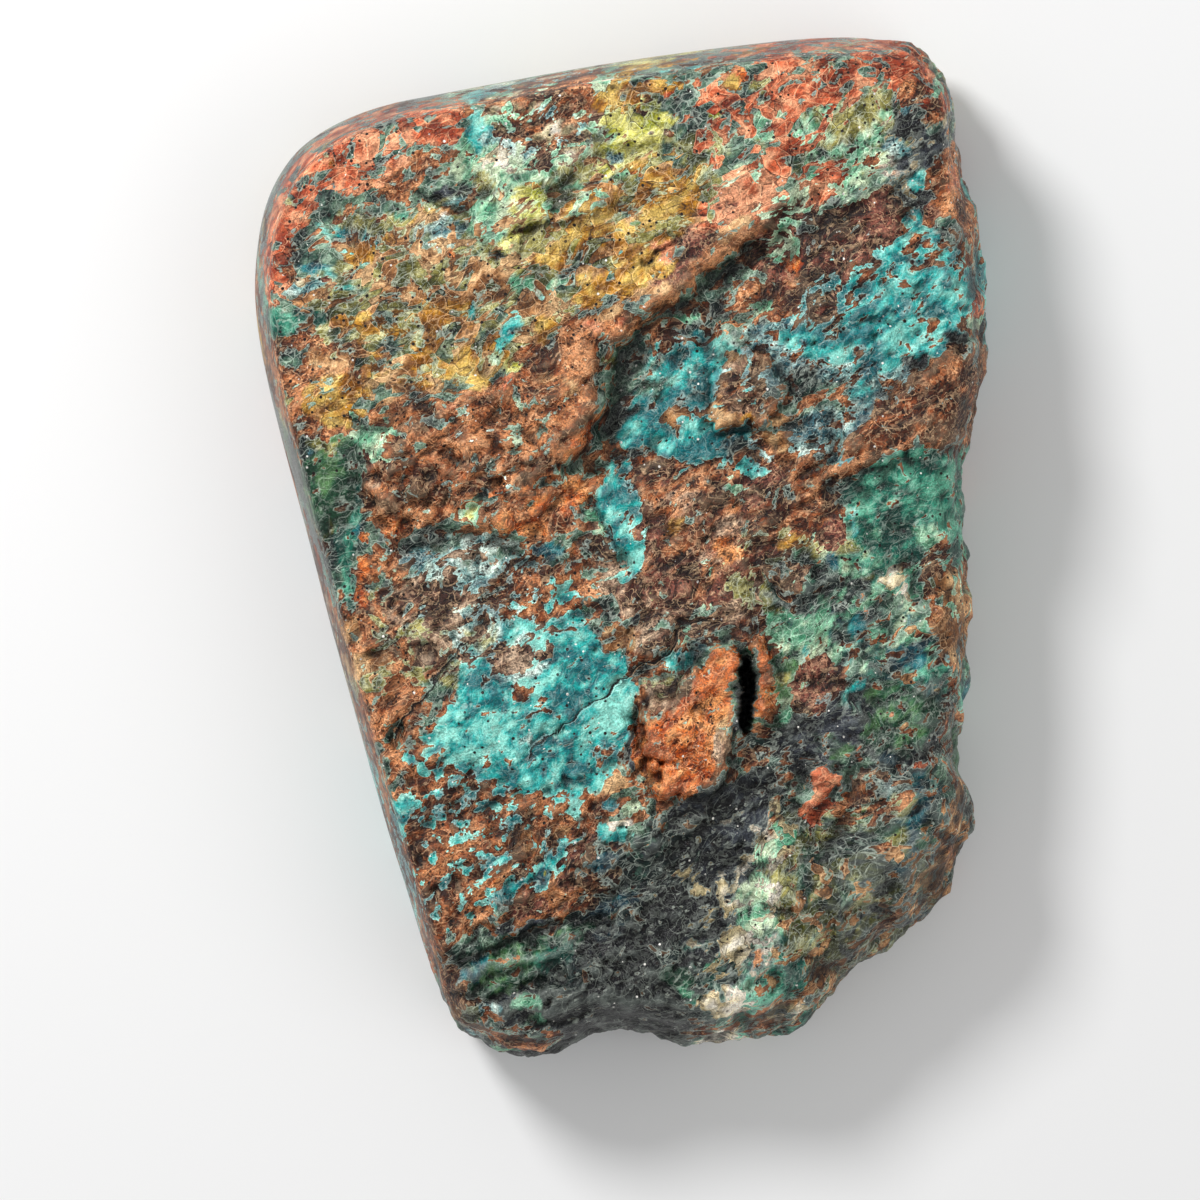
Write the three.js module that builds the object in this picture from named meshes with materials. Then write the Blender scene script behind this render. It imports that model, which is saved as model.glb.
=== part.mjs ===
// A shattuckite nodule: one piece of copper ore that lies on its flat, polished back with its rough face up.
// Millimetres. +X points right, +Y along the longest side, +Z up. The origin is under the middle of the stone.
import * as THREE from "three";
import { mergeVertices } from "three/addons/utils/BufferGeometryUtils.js";

// The widest outline seen from above, counter-clockwise from the left end of the lower edge.
const outlinePoints = [
  [-12.8, -38.6], [-9.8, -40.1], [-6.8, -40.8], [-4.2, -39.9], [-1.6, -38.6], [1.6, -38.8], [5.6, -39.7],
  [10.8, -39.4], [14.1, -38.6], [15.4, -37.6], [17.2, -35.2], [18.5, -33.9], [22.0, -31.3], [25.1, -29.1],
  [26.4, -27.1], [27.4, -24.2], [28.0, -21.4], [27.9, -19.4], [27.2, -18.5], [26.9, -17.4], [27.4, -12.2],
  [27.8, -7.4], [27.6, -1.0], [27.3, 4.2], [27.7, 8.2], [28.8, 13.0], [29.2, 17.4], [29.1, 20.6],
  [28.7, 24.6], [27.8, 28.6], [26.9, 31.4], [26.7, 34.2], [25.8, 37.7], [24.0, 39.6], [21.2, 40.6],
  [17.6, 40.8], [12.0, 40.4], [2.4, 39.2], [-7.2, 37.6], [-14.4, 36.2], [-19.2, 35.2], [-23.2, 33.6],
  [-26.0, 31.5], [-28.0, 28.2], [-28.9, 24.8], [-29.2, 21.0], [-29.1, 18.8], [-28.4, 14.2], [-25.8, 3.8],
  [-22.0, -10.6], [-17.6, -25.8], [-14.1, -36.2],
];

// Heights above the surface that the stone lies on.
const faceHeight = 16.2; // the rough face, away from its ridges
const leastFaceHeight = 7.5; // the lowest place of the rough face, at the broken corner

// How the wall is shaped, as shares of the outline's radius and of the rough face's height.
const flatShare = 0.93; // how far the flat back reaches
const widestShare = 0.3; // the height where the stone is widest
const wallTopRadius = 0.972;
const wallTopShare = 0.78;
const shoulderRadius = 0.9; // where the rounded upper edge meets the rough face

// How finely the stone is cut into facets.
const aroundCount = 104;
const backEdgeCount = 4;
const shoulderCount = 5;
const faceRingCount = 24;

// Swellings and hollows of the rough face: place, half length, half width, turn in degrees, height.
const swellings = [
  { at: [-13, 24], half: [17, 12], turn: 20, rise: 1.3 }, // the waxy upper left field
  { at: [15, 33], half: [11, 5], turn: 10, rise: 0.7 }, // the red upper right corner
  { at: [-12, 7], half: [8, 7], turn: 20, rise: 1.5 }, // the brown crust
  { at: [-7, -12], half: [8, 7], turn: 0, rise: 0.9 }, // the turquoise field
  { at: [18, 14], half: [9, 6], turn: 25, rise: 0.8 }, // the blue slope on the right
  { at: [9, 12.5], half: [3, 3], turn: 20, rise: 1.0 }, // the pink flake
  { at: [5, -14.5], half: [4, 4.5], turn: -35, rise: 2.0 }, // the orange block
  { at: [9.9, -12.2], half: [1.9, 3.4], turn: 5, rise: -2.6 }, // the dark slit beside it
  { at: [16, -21.5], half: [2, 2.6], turn: 0, rise: 1.0 }, // the coral lump
  { at: [9, -27], half: [6, 8], turn: -25, rise: -1.5 }, // the charcoal hollow
  { at: [-5, -29], half: [12, 3.5], turn: 25, rise: -1.3 }, // the lower left valley
  { at: [-7, -36.5], half: [6, 2.5], turn: 0, rise: 0.9 }, // the lower lip
  { at: [22, 1], half: [5, 6], turn: 0, rise: -0.6 }, // the glassy green hollow
];

// Ridges of the rough face: crest points, crest height and half width, then how far it falls below its steep
// side, over what distance, and how far away the face has come back to its level.
const ridges = [
  {
    crest: [[-24, 8], [-17.6, 10.6], [-8, 15], [-1.6, 16.6], [6.4, 22.2], [13.6, 27.8], [18, 31]],
    rise: 1.6,
    halfWidth: 2.6,
    drop: 1.5,
    fall: 4,
    recovery: 12,
  },
  {
    crest: [[10.5, 0.5], [16, 5.5], [22.5, 9.5], [29, 12.5]],
    rise: 1.5,
    halfWidth: 2.4,
    drop: 1.3,
    fall: 3.5,
    recovery: 9,
  },
];

// Broken edges, where the face slopes down: a point on the upper end of the slope, the way it faces, the slope.
const slopes = [
  { from: [19.5, -27.5], facing: -48, steepness: 0.85 },
  { from: [4, -36], facing: -88, steepness: 0.8 },
  { from: [24.5, 0], facing: -4, steepness: 0.55 },
  { from: [-19, -22], facing: 196, steepness: 0.35 },
];

const stoneColor = 0x6b6a55;

function smoothStep(low, high, value) {
  return THREE.MathUtils.smoothstep(value, low, high);
}

function swellingHeight({ at, half, turn, rise }, x, y) {
  const angle = THREE.MathUtils.degToRad(turn);
  const along = (x - at[0]) * Math.cos(angle) + (y - at[1]) * Math.sin(angle);
  const across = (y - at[1]) * Math.cos(angle) - (x - at[0]) * Math.sin(angle);
  return rise * Math.exp(-((along / half[0]) ** 2) - (across / half[1]) ** 2);
}

// A ridge's crest line as closely spaced points, each with its direction and its share of the line's length.
function crestSamples(crest) {
  const line = new THREE.CatmullRomCurve3(crest.map(([x, y]) => new THREE.Vector3(x, y, 0)));
  const count = crest.length * 8;
  const shares = Array.from({ length: count + 1 }, (_, i) => i / count);
  return shares.map((share) => ({ share, point: line.getPoint(share), direction: line.getTangent(share) }));
}

function ridgeHeight({ samples, rise, halfWidth, drop, fall, recovery }, x, y) {
  const spot = new THREE.Vector3(x, y, 0);
  const distances = samples.map(({ point }) => point.distanceTo(spot));
  const nearest = samples[distances.indexOf(Math.min(...distances))];
  const offset = spot.sub(nearest.point);
  const side = Math.sign(offset.x * nearest.direction.y - offset.y * nearest.direction.x);
  const across = side * offset.length(); // positive on the steep side
  const ends = smoothStep(0, 0.15, nearest.share) * (1 - smoothStep(0.85, 1, nearest.share));
  const crestPart = rise * Math.exp(-((across / halfWidth) ** 2));
  const belowPart = drop * smoothStep(0, fall, across) * (1 - smoothStep(fall, recovery, across));
  return (crestPart - belowPart) * ends;
}

function slopeHeight({ from, facing, steepness }, x, y) {
  const angle = THREE.MathUtils.degToRad(facing);
  const beyond = (x - from[0]) * Math.cos(angle) + (y - from[1]) * Math.sin(angle);
  return -steepness * Math.max(0, beyond);
}

const sampledRidges = ridges.map((ridge) => ({ ...ridge, samples: crestSamples(ridge.crest) }));

// The height of the rough face over a point of the plan.
function roughFace(x, y) {
  let height = faceHeight;
  for (const swelling of swellings) height += swellingHeight(swelling, x, y);
  for (const ridge of sampledRidges) height += ridgeHeight(ridge, x, y);
  for (const slope of slopes) height += slopeHeight(slope, x, y);
  return Math.max(height, leastFaceHeight);
}

// Half of a section through the stone, from the middle of the back round the wall to the middle of the face.
// x is a share of the outline's radius and y a share of the face's height.
function sectionPoints() {
  const points = [new THREE.Vector2(0, 0)];
  for (let i = 0; i <= backEdgeCount; i++) {
    const angle = (i / backEdgeCount) * (Math.PI / 2);
    const radius = flatShare + (1 - flatShare) * Math.sin(angle);
    points.push(new THREE.Vector2(radius, widestShare * (1 - Math.cos(angle))));
  }
  points.push(new THREE.Vector2((1 + wallTopRadius) / 2, (widestShare + wallTopShare) / 2));
  for (let i = 0; i <= shoulderCount; i++) {
    const angle = (i / shoulderCount) * (Math.PI / 2);
    const radius = wallTopRadius - (wallTopRadius - shoulderRadius) * (1 - Math.cos(angle));
    points.push(new THREE.Vector2(radius, wallTopShare + (1 - wallTopShare) * Math.sin(angle)));
  }
  for (let i = faceRingCount - 1; i >= 0; i--) {
    points.push(new THREE.Vector2((shoulderRadius * i) / faceRingCount, 1));
  }
  return points;
}

// The section is turned round into a unit disc, whose rings are then stretched to the outline and lifted.
function stoneGeometry() {
  const outline = new THREE.CatmullRomCurve3(
    outlinePoints.map(([x, y]) => new THREE.Vector3(x, y, 0)),
    true,
  );
  const edge = outline.getSpacedPoints(aroundCount);
  const lathe = new THREE.LatheGeometry(sectionPoints(), aroundCount);
  lathe.deleteAttribute("normal");
  lathe.deleteAttribute("uv");
  const position = lathe.getAttribute("position");
  const ringLength = sectionPoints().length;
  for (let i = 0; i < position.count; i++) {
    const radius = Math.hypot(position.getX(i), position.getZ(i));
    const share = position.getY(i);
    const turnIndex = Math.floor(i / ringLength) % aroundCount;
    const { x, y } = edge[turnIndex].clone().multiplyScalar(radius);
    position.setXYZ(i, x, y, share * roughFace(x, y));
  }
  return mergeVertices(lathe);
}

const stone = new THREE.Mesh(
  stoneGeometry(),
  new THREE.MeshStandardMaterial({ color: stoneColor, roughness: 0.55, metalness: 0 }),
);
stone.name = "nodule";

const part = new THREE.Group();
part.add(stone);

export default part;
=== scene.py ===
import math

import bmesh
import bpy
import numpy as np
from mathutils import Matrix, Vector, noise


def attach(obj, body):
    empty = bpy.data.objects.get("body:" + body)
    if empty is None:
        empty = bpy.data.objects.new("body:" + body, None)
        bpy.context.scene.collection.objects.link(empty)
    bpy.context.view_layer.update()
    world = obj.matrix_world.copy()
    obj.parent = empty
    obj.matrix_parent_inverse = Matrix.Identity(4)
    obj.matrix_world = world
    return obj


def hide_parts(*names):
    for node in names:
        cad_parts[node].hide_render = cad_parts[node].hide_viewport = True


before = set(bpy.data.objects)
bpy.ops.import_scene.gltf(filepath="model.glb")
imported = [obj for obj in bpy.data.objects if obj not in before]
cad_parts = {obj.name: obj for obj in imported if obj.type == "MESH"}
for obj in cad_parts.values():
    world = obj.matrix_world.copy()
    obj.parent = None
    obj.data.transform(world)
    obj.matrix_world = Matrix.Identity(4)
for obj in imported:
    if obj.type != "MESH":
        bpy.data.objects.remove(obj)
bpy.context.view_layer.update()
print("frame loaded")

mm = 0.001  # places and sizes are written in millimetres
noise.seed_set(12)  # gives the wandering noise the same fixed pattern in every run

# Straight onto the rough face, with the middle of the picture a little left of and below the stone's.
camera = {
    "centre": (-1.64, -4.2),
    "width": 96.0,  # what the picture spans at the height of the outline
    "distance": 500.0,
    "outlineHeight": 5.0,
    "sensor": 36.0,
    "nearest": 10.0,
    "farthest": 10000.0,
}

# The slab, as shares of the outline's radius and of the face's height. It lies on its flat, polished back.
slab = {
    "cells": (250, 340),  # how finely the face and the wall are cut, across and along
    "faceShare": 0.8,  # the share of the cells that lies on the face, the rest runs down the wall
    "backRings": 8,
    "faceHeight": 15.9,
    "leastHeight": 7.5,
    "mostHeight": 19.2,
    "corners": (56.8, 131.6, 250.0, 304.0),  # where the outline's corners lie, as angles round the middle
    "innerRadius": 20.0,  # corners of the CAD stone nearer its middle than this are not on its outline
    "ringSteps": 8,  # how many points the smooth outline has for each one of the CAD stone
    "polishedFrom": 62.0,  # the top and left walls are polished
    "polishedTo": 246.0,
    "polishFade": 5.0,
    "flatShare": 0.93,
    "widestLevel": 0.3,
    "wallTop": (0.972, 0.948),  # rough, polished
    "wallTopLevel": (0.78, 0.88),
    "shoulder": (0.9, 0.925),
    "shoulderShare": 0.45,  # the share of the wall's cells that the rounded shoulder takes
    "lowerEdge": 3.5,
    "faceFade": 1.2,  # how fast the face's bumps fade over the shoulder and down the wall
    "chipsFull": 0.5,  # how far down the wall the chips have their full size
    "chipsEnd": 0.8,  # the share of the back's rings after which they are gone
    "backGloss": (0.4, 0.9),  # the shares of the back's rings between which the cut back's look sets in
    "wallGloss": 0.75,
    "wallGlossDrop": 2.0,  # how far below the rim a polished wall has all its gloss
}

# The shape of the rough face. Places are seen from the camera.
relief = {
    # x, y, half length, half width, turn, height
    "swellings": [
        (-13, 24, 17, 12, 20, 1.2), (15, 33, 11, 5, 10, 0.6), (-7, -12, 8, 7, 0, 0.7),
        (-13.5, -9, 2.5, 5, -40, -0.7), (18, 16, 9, 5, 25, 0.8), (5, 13, 4, 4, 0, -0.7),
        (-1, 12, 2.5, 4, 0, -0.8), (12, 24, 5, 3, 30, -0.6), (9.5, 7.5, 3, 2, 10, -0.5),
        (22, 2, 5, 5, 0, -0.6), (9, -27, 6, 8, -25, -1.3), (-5, -29.5, 12, 2.5, 22, -1),
        (-21.5, 2, 3, 7, 10, -0.5), (-10.5, 0, 5, 1.6, -5, -0.3), (-12, 9, 8, 5, 20, 0.9),
        (15, -6, 5, 4, 0, 0.4), (23, -9, 3, 3, 0, -0.4),
    ],
    # raised and sunk plates: height, width of the edge, outline
    "plates": [
        (1.1, 0.35, [(6.4, 10.8), (7.7, 9.3), (9.5, 9.7), (11.8, 10.2), (13, 12.5), (12, 15.3), (10, 16),
                     (8.7, 15.2), (8, 13.8)]),
        (1, 1, [(14.5, 4.6), (17, 7), (18.6, 9.6), (20.5, 11.5), (23, 13), (25.5, 15.3), (30, 16.5),
                (30, 9), (26, 8), (22, 7.6), (18, 5.8)]),
        (1.7, 0.5, [(1.4, -13.5), (3.5, -12), (6.2, -9.8), (7.6, -8), (9, -7.4), (9.4, -11), (9.1, -14.5),
                    (8.8, -16.5), (8, -18.3), (6, -19.7), (3, -20.5), (2.2, -17.5)]),
        (1.5, 0.6, [(9.9, -7), (11, -7.6), (12, -10.5), (12.1, -13.5), (11, -15), (10.7, -12),
                    (10.4, -9)]),
        (-4.2, 0.9, [(9.5, -8.6), (10.1, -8.4), (10.7, -11), (10.8, -13.2), (10.2, -15), (9.5, -14.6),
                     (9.3, -11.5)]),
        (1.1, 0.6, [(14.8, -17.6), (17.5, -17.3), (17.8, -19), (16.5, -20.2), (15.6, -21.3),
                    (14.6, -20.6)]),
        (0.8, 0.9, [(-14, -38), (-10, -38.3), (-5, -38.6), (-2.5, -38.2), (-3, -42), (-14, -42)]),
        (0.5, 0.5, [(20.6, -2.6), (22.8, -1.7), (23.2, -4.6), (22.2, -5)]),
        (0.6, 0.3, [(-12.2, 26.6), (-10.5, 28), (-7, 29.2), (-5.4, 28.3), (-6.2, 27), (-5.6, 26.2),
                    (-7.6, 25.2), (-8.6, 23.6), (-9.8, 24.2), (-11, 24.2), (-12, 25.2)]),
        (0.3, 0.8, [(-28, 29), (-20, 34), (-12.6, 36), (-12.4, 32.3), (-16, 28.8), (-22, 28.3),
                    (-26, 25)]),
        (0.8, 1.6, [(-20, 9), (-14, 11.5), (-8, 14.5), (-2, 17), (-2, 12), (-3.5, 8), (-5, 4), (-8, 1.5),
                    (-13, 1.5), (-18, 2), (-20.3, 5)]),
    ],
    # crest height, half width, the fall on the lower right side, the width of that fall, the way back,
    # crest points
    "ridges": [
        (0.35, 2, 1.9, 1.5, 8, [(-6, 6), (-3.5, 8.5), (-2.2, 11), (-1.5, 13), (-1.2, 15.5), (-0.2, 17.6),
                                (2, 19.4), (6.4, 22.2), (9.5, 24.8), (13, 28), (16, 31)]),
        (0.7, 0.8, 0.6, 0.8, 3, [(-13, -34.8), (-10, -33.4), (-7, -33), (-3, -32)]),
        (0.4, 0.5, 0.4, 0.6, 3, [(15.5, -23.6), (17, -22), (18.1, -20)]),
        (0.35, 0.5, 0.35, 0.5, 3, [(-13, 32), (-10, 28.5), (-6, 29), (-2, 32), (3, 33), (7, 35)]),
        (0.3, 0.4, 0.35, 0.4, 3, [(-10, 24.8), (-6.5, 26.3), (-2, 27), (2, 29.5)]),
        (0.1, 0.5, 0.12, 0.5, 3, [(2, 26.5), (6, 29.5), (9, 31.5), (12, 35)]),
    ],
    # fine cracks, which the material also paints dark as painted shade, and grooves: depth, half width,
    # points
    "cracks": [
        (0.3, 0.35, [(-5, -14.6), (-4.8, -14.1), (-3.3, -13.4), (-2.2, -12.3), (-1.3, -11.9),
                     (-0.6, -10.9), (0, -10.6)]),
        (0.35, 0.35, [(0.6, -10.4), (1.4, -10), (1.9, -9.3), (3.3, -9), (4, -8.2), (4.4, -7.6),
                      (4.6, -6.6), (5.6, -6.2), (6.9, -5.9)]),
        (0.35, 0.35, [(-5, -14.6), (-6.5, -15.6), (-7.2, -16.8)]),
        (0.35, 0.35, [(-12.6, -8), (-13.4, -9.2), (-14.8, -10.2), (-15.2, -11.2), (-16, -12.2),
                      (-17.5, -13.9)]),
        (1.2, 0.5, [(-17.9, -14.4), (-18.2, -15.3)]),
    ],
    "grooves": [
        (0.9, 0.5, [(-13, -33), (-11.5, -32.8), (-10, -32.2), (-8, -31.2), (-5, -30.2), (-1, -29.8)]),
        (0.7, 0.4, [(-13, -35.9), (-11, -36.3), (-9, -35.6), (-7, -35), (-4.5, -34.6)]),
        (0.7, 0.3, [(-16.3, 28.2), (-15.5, 28), (-14, 27.4), (-12.5, 27)]),
        (0.5, 0.25, [(-9.9, 23.2), (-9.9, 24), (-8.9, 25), (-6.5, 25.9)]),
        (0.25, 0.3, [(9, 24.4), (10.5, 24.2), (12, 23)]),
        (0.6, 0.25, [(2, 22.8), (4.5, 24.8), (3.8, 25.2)]),
        (0.4, 0.2, [(-2.7, 16.8), (-1.5, 16.2), (0, 15.6)]),
        (0.6, 0.3, [(7.9, 9.1), (8.8, 9.5), (10, 9.5), (10.8, 9.1)]),
        (0.6, 0.3, [(-2.5, 4.3), (-1.2, 1.8), (0.2, -1.2)]),
        (0.6, 0.3, [(1.3, -14), (1.6, -16), (2.1, -18)]),
        (0.6, 0.25, [(14.5, -4.2), (13, -3.9), (11, -2)]),
    ],
    # broken edges, where the face falls away: a point on the fall's upper end, the way it faces, its slope
    "falls": [
        (19.5, -27, -48, 0.8), (4, -36.5, -88, 0.8), (24.8, 0, -4, 0.5), (-19, -22, 196, 0.3),
    ],
    # smoother and rougher places: x, y, half length, half width, turn, share of the usual roughness
    "smoother": [
        (-13, 24, 20, 13, 20, 0.22), (13, 35, 17, 6, 10, 0.35), (2, 28, 10, 6, 30, 0.4),
        (-7, -13, 7, 6, 0, 0.5), (24, 12, 7, 3.5, 20, 0.4), (-23, 2, 3, 8, 10, 0.3),
        (20, -27, 6, 5, -40, 0.7), (22, 2, 5, 5, 0, 0.7), (6.3, 9.5, 1.6, 1.6, 0, 0.4),
        (0, 2.5, 2, 3.5, 0, 0.5), (-12, 7, 9, 7, 20, 1.8), (-9, -22, 8, 7, 0, 1.2),
        (22, 11, 8, 3, 25, 1.3),
    ],
    "smootherFade": (1.15, 0.75),  # where such a place begins and where it is full, 1 is its rim
    "ridgeEnds": (0.15, 0.7),  # the shares of its length where a ridge has risen and where it begins to sink
    "grainTurn": 30.0,  # the ore's grain runs up to the right
    "grainStretch": 1.35,
    # Each kind of bump has a size and a height. The last number of a noise shifts it away from the others.
    "broad": (7.0, 0.35, 0.0),
    "lumps": (2.4, 0.4, 3.7),
    "crumbs": (0.9, 0.28, 7.1),
    "flakes": (1.7, 0.3),
    "flakeTilt": 1.6,
    "flakeBend": (1.1, 0.35, 2.0),
    "smoothFlakes": 0.15,  # the share of their height that flakes keep in a smooth place
    "pits": (1.3, 0.45, 5.3),
    "pitRims": (0.3, 0.08),
    "pitFields": (5.0, 0.3, 9.0),  # size, the noise at which pits are full, shift
    "wander": (2.4, 1.0),  # how the shapes stray from their rows
    "jag": (0.9, 0.45, 6.6),
    "ragged": (1.0, 0.5, 15.0),  # the edges of the plates
    "chips": (3.0, 0.35, 1.9),  # of the rough walls
    "chipsInward": 0.3,
    "waves": (9.0, 0.12, 4.2),  # of the polished walls
}


def smooth(low, high, value):
    share = np.clip((value - low) / (high - low), 0, 1)
    return share * share * (3 - 2 * share)


def turned(x, y, turn):
    c, s = math.cos(math.radians(turn)), math.sin(math.radians(turn))
    return x * c + y * s, y * c - x * s


# How far a place lies from the middle of a turned oval, 1 on its rim.
def ovalDistance(x, y, halfLength, halfWidth, turn):
    along, across = turned(x, y, turn)
    return np.hypot(along / halfLength, across / halfWidth)


# How far a point lies from a line of points, on which side, positive on the right hand, and how far along it.
def lineDistance(x, y, points, closed=False):
    nearest = np.full(len(x), np.inf)
    side = np.ones(len(x))
    along = np.zeros(len(x))
    ends = points[1:] + points[:1] if closed else points[1:]
    count = len(ends)
    for i, ((ax, ay), (bx, by)) in enumerate(zip(points, ends)):
        dx, dy = bx - ax, by - ay
        share = np.clip(((x - ax) * dx + (y - ay) * dy) / (dx * dx + dy * dy), 0, 1)
        gap = np.hypot(x - ax - share * dx, y - ay - share * dy)
        closer = gap < nearest
        nearest = np.where(closer, gap, nearest)
        side = np.where(closer, np.sign((x - ax) * dy - (y - ay) * dx), side)
        along = np.where(closer, (i + share) / count, along)
    return nearest, side, along


# The distance into a closed outline, negative outside it.
def depthInside(x, y, outline):
    gap = lineDistance(x, y, outline, closed=True)[0]
    inside = np.zeros(len(x), bool)
    for (ax, ay), (bx, by) in zip(outline, outline[1:] + outline[:1]):
        if ay != by:
            inside ^= ((ay > y) != (by > y)) & (x < ax + (y - ay) * (bx - ax) / (by - ay))
    return np.where(inside, gap, -gap)


def flatPlaces(x, y):
    return np.column_stack([x, y, np.zeros(len(x))])


# Each octave of this noise has half the size and half the height of the one before.
def noiseAt(points, size, octaves=3, shift=0.0):
    fade, step = 1.0, 2.0
    return np.array([noise.fractal(p, fade, step, octaves) for p in (points / size + shift).tolist()])


def windAt(points, size, shift=0.0):
    return np.array([noise.noise_vector(p) for p in (points / size + shift).tolist()])


# Small sideways jumps that make outlines and cracks ragged.
def jagAt(flat):
    size, reach, shift = relief["jag"]
    jag = reach * windAt(flat, size, shift)
    return jag[:, 0], jag[:, 1]


# Broken flakes: each has its own height and tilt.
def flakesAt(points, size):
    tilt = relief["flakeTilt"]
    heights = []
    for p in (points / size).tolist():
        spot = noise.voronoi(p)[1][0]
        own = noise.cell_vector(spot)
        offset = Vector(p) - spot
        heights.append(own[2] - 0.5 + (own[0] - 0.5) * tilt * offset[0] + (own[1] - 0.5) * tilt * offset[1])
    return np.array(heights)


def pitsAt(points, size, shift):
    return np.array([noise.voronoi(p)[0][0] for p in (points / size + shift).tolist()])


# The swellings, plates, ridges, cracks and broken edges of the face. Most of them wander a little from their
# rows, at wx and wy, and the cracks are only jagged.
def shapedHeight(jaggedX, jaggedY, wx, wy, grain):
    height = np.full(len(wx), slab["faceHeight"])
    for cx, cy, halfLength, halfWidth, turn, rise in relief["swellings"]:
        along, across = turned(wx - cx, wy - cy, turn)
        height += rise * np.exp(-((along / halfLength) ** 2) - (across / halfWidth) ** 2)
    size, reach, shift = relief["ragged"]
    ragged = reach * noiseAt(grain, size, 2, shift)
    for rise, edge, outline in relief["plates"]:
        height += rise * smooth(-edge / 2, edge / 2, depthInside(wx, wy, outline) + ragged)
    risen, sinking = relief["ridgeEnds"]
    for rise, halfWidth, fall, fallWidth, recovery, points in relief["ridges"]:
        gap, side, along = lineDistance(wx, wy, points)
        across = gap * side
        ends = smooth(0, risen, along) * (1 - smooth(sinking, 1, along))
        below = fall * smooth(0, fallWidth, across) * (1 - smooth(fallWidth, recovery, across))
        height += ends * (rise * np.exp(-((across / halfWidth) ** 2)) - below)
    for depth, halfWidth, points in relief["cracks"] + relief["grooves"]:
        gap = lineDistance(jaggedX, jaggedY, points)[0]
        height -= depth * np.exp(-((gap / halfWidth) ** 2))
    for px, py, facing, steepness in relief["falls"]:
        beyond = turned(wx - px, wy - py, facing)[0]
        height -= steepness * np.maximum(0, beyond)
    return height


# The height of the face with all its bumps. onFace is 1 on the face and fades to 0 down the wall.
def faceHeightAt(x, y, onFace):
    grainX, grainY = turned(x, y, relief["grainTurn"])
    grain = flatPlaces(grainX / relief["grainStretch"], grainY)
    size, reach = relief["wander"]
    wind = windAt(flatPlaces(x, y), size)
    jagX, jagY = jagAt(flatPlaces(x, y))
    wx, wy = x + reach * wind[:, 0] + jagX, y + reach * wind[:, 1] + jagY
    height = shapedHeight(x + jagX, y + jagY, wx, wy, grain)
    rough = np.ones(len(x))
    for cx, cy, halfLength, halfWidth, turn, share in relief["smoother"]:
        away = ovalDistance(wx - cx, wy - cy, halfLength, halfWidth, turn)
        rough *= 1 - (1 - share) * smooth(*relief["smootherFade"], away)
    rough = rough * onFace
    for name, octaves, amount in (("broad", 3, 1), ("lumps", 3, rough), ("crumbs", 2, rough)):
        size, rise, shift = relief[name]
        height += rise * amount * noiseAt(grain, size, octaves, shift)
    size, reach, shift = relief["flakeBend"]
    bent = grain + reach * windAt(grain, size, shift)
    size, rise = relief["flakes"]
    least = relief["smoothFlakes"]
    height += rise * (least + (1 - least) * rough) * onFace * flakesAt(bent, size)
    size, full, shift = relief["pitFields"]
    pitted = smooth(0.0, full, noiseAt(grain, size, 2, shift))
    size, depth, shift = relief["pits"]
    height -= depth * rough * smooth(*relief["pitRims"], pitsAt(grain, size, shift)) * pitted
    return np.clip(height, slab["leastHeight"], slab["mostHeight"])


# The outline is the widest ring of the CAD stone, as radius by angle round the middle, drawn as a smooth
# curve through the ring's points.
def outlineRadius():
    corners = np.array([v.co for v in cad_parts["nodule"].data.vertices]) / mm
    angles = np.round(np.arctan2(corners[:, 1], corners[:, 0]), 3)
    radii = np.hypot(corners[:, 0], corners[:, 1])
    widest = {}
    for angle, radius in zip(angles, radii):
        if radius > slab["innerRadius"]:
            widest[angle] = max(radius, widest.get(angle, 0))
    keys = np.array(sorted(widest))
    values = np.array([widest[key] for key in keys])
    ring = np.column_stack([np.cos(keys), np.sin(keys)]) * values[:, None]
    before, after, later = np.roll(ring, 1, 0), np.roll(ring, -1, 0), np.roll(ring, -2, 0)
    fine = []
    for t in np.linspace(0, 1, slab["ringSteps"], endpoint=False):
        square = (2 * before - 5 * ring + 4 * after - later) * t ** 2
        cube = (3 * ring - before - 3 * after + later) * t ** 3
        fine.append(0.5 * (2 * ring + (after - before) * t + square + cube))
    fine = np.concatenate(fine)
    turns = np.arctan2(fine[:, 1], fine[:, 0])
    order = np.argsort(turns)
    return turns[order], np.hypot(fine[:, 0], fine[:, 1])[order]


outlineTurns, outlineRadii = outlineRadius()


def radiusAt(turn):
    return np.interp(turn, outlineTurns, outlineRadii, period=2 * math.pi)


# Where a point of the square edge lies on the outline: the square's sides are laid on the outline's sides.
def outlineTurn(u, v):
    spots = []
    for angle in np.radians(slab["corners"]):
        spots.append(radiusAt(angle) * np.array([math.cos(angle), math.sin(angle)]))
    topRight, topLeft, lowerLeft, lowerRight = spots
    ring = np.maximum(np.maximum(np.abs(u), np.abs(v)), 1e-9)  # never 0, because it divides
    across, up = ((u / ring + 1) / 2)[:, None], ((v / ring + 1) / 2)[:, None]
    onTop = topLeft + (topRight - topLeft) * across
    onBottom = lowerLeft + (lowerRight - lowerLeft) * across
    onRight = lowerRight + (topRight - lowerRight) * up
    onLeft = lowerLeft + (topLeft - lowerLeft) * up
    spot = np.where(np.abs(v)[:, None] >= np.abs(u)[:, None],
                    np.where(v[:, None] > 0, onTop, onBottom), np.where(u[:, None] > 0, onRight, onLeft))
    return np.arctan2(spot[:, 1], spot[:, 0])


# What a place looks shifted to in the picture, because the upper parts are nearer the camera.
def seenFromCamera(x, y, z):
    scale = camera["distance"] / (camera["distance"] - (z - camera["outlineHeight"]))
    cx, cy = camera["centre"]
    return cx + (x - cx) * scale, cy + (y - cy) * scale


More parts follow.
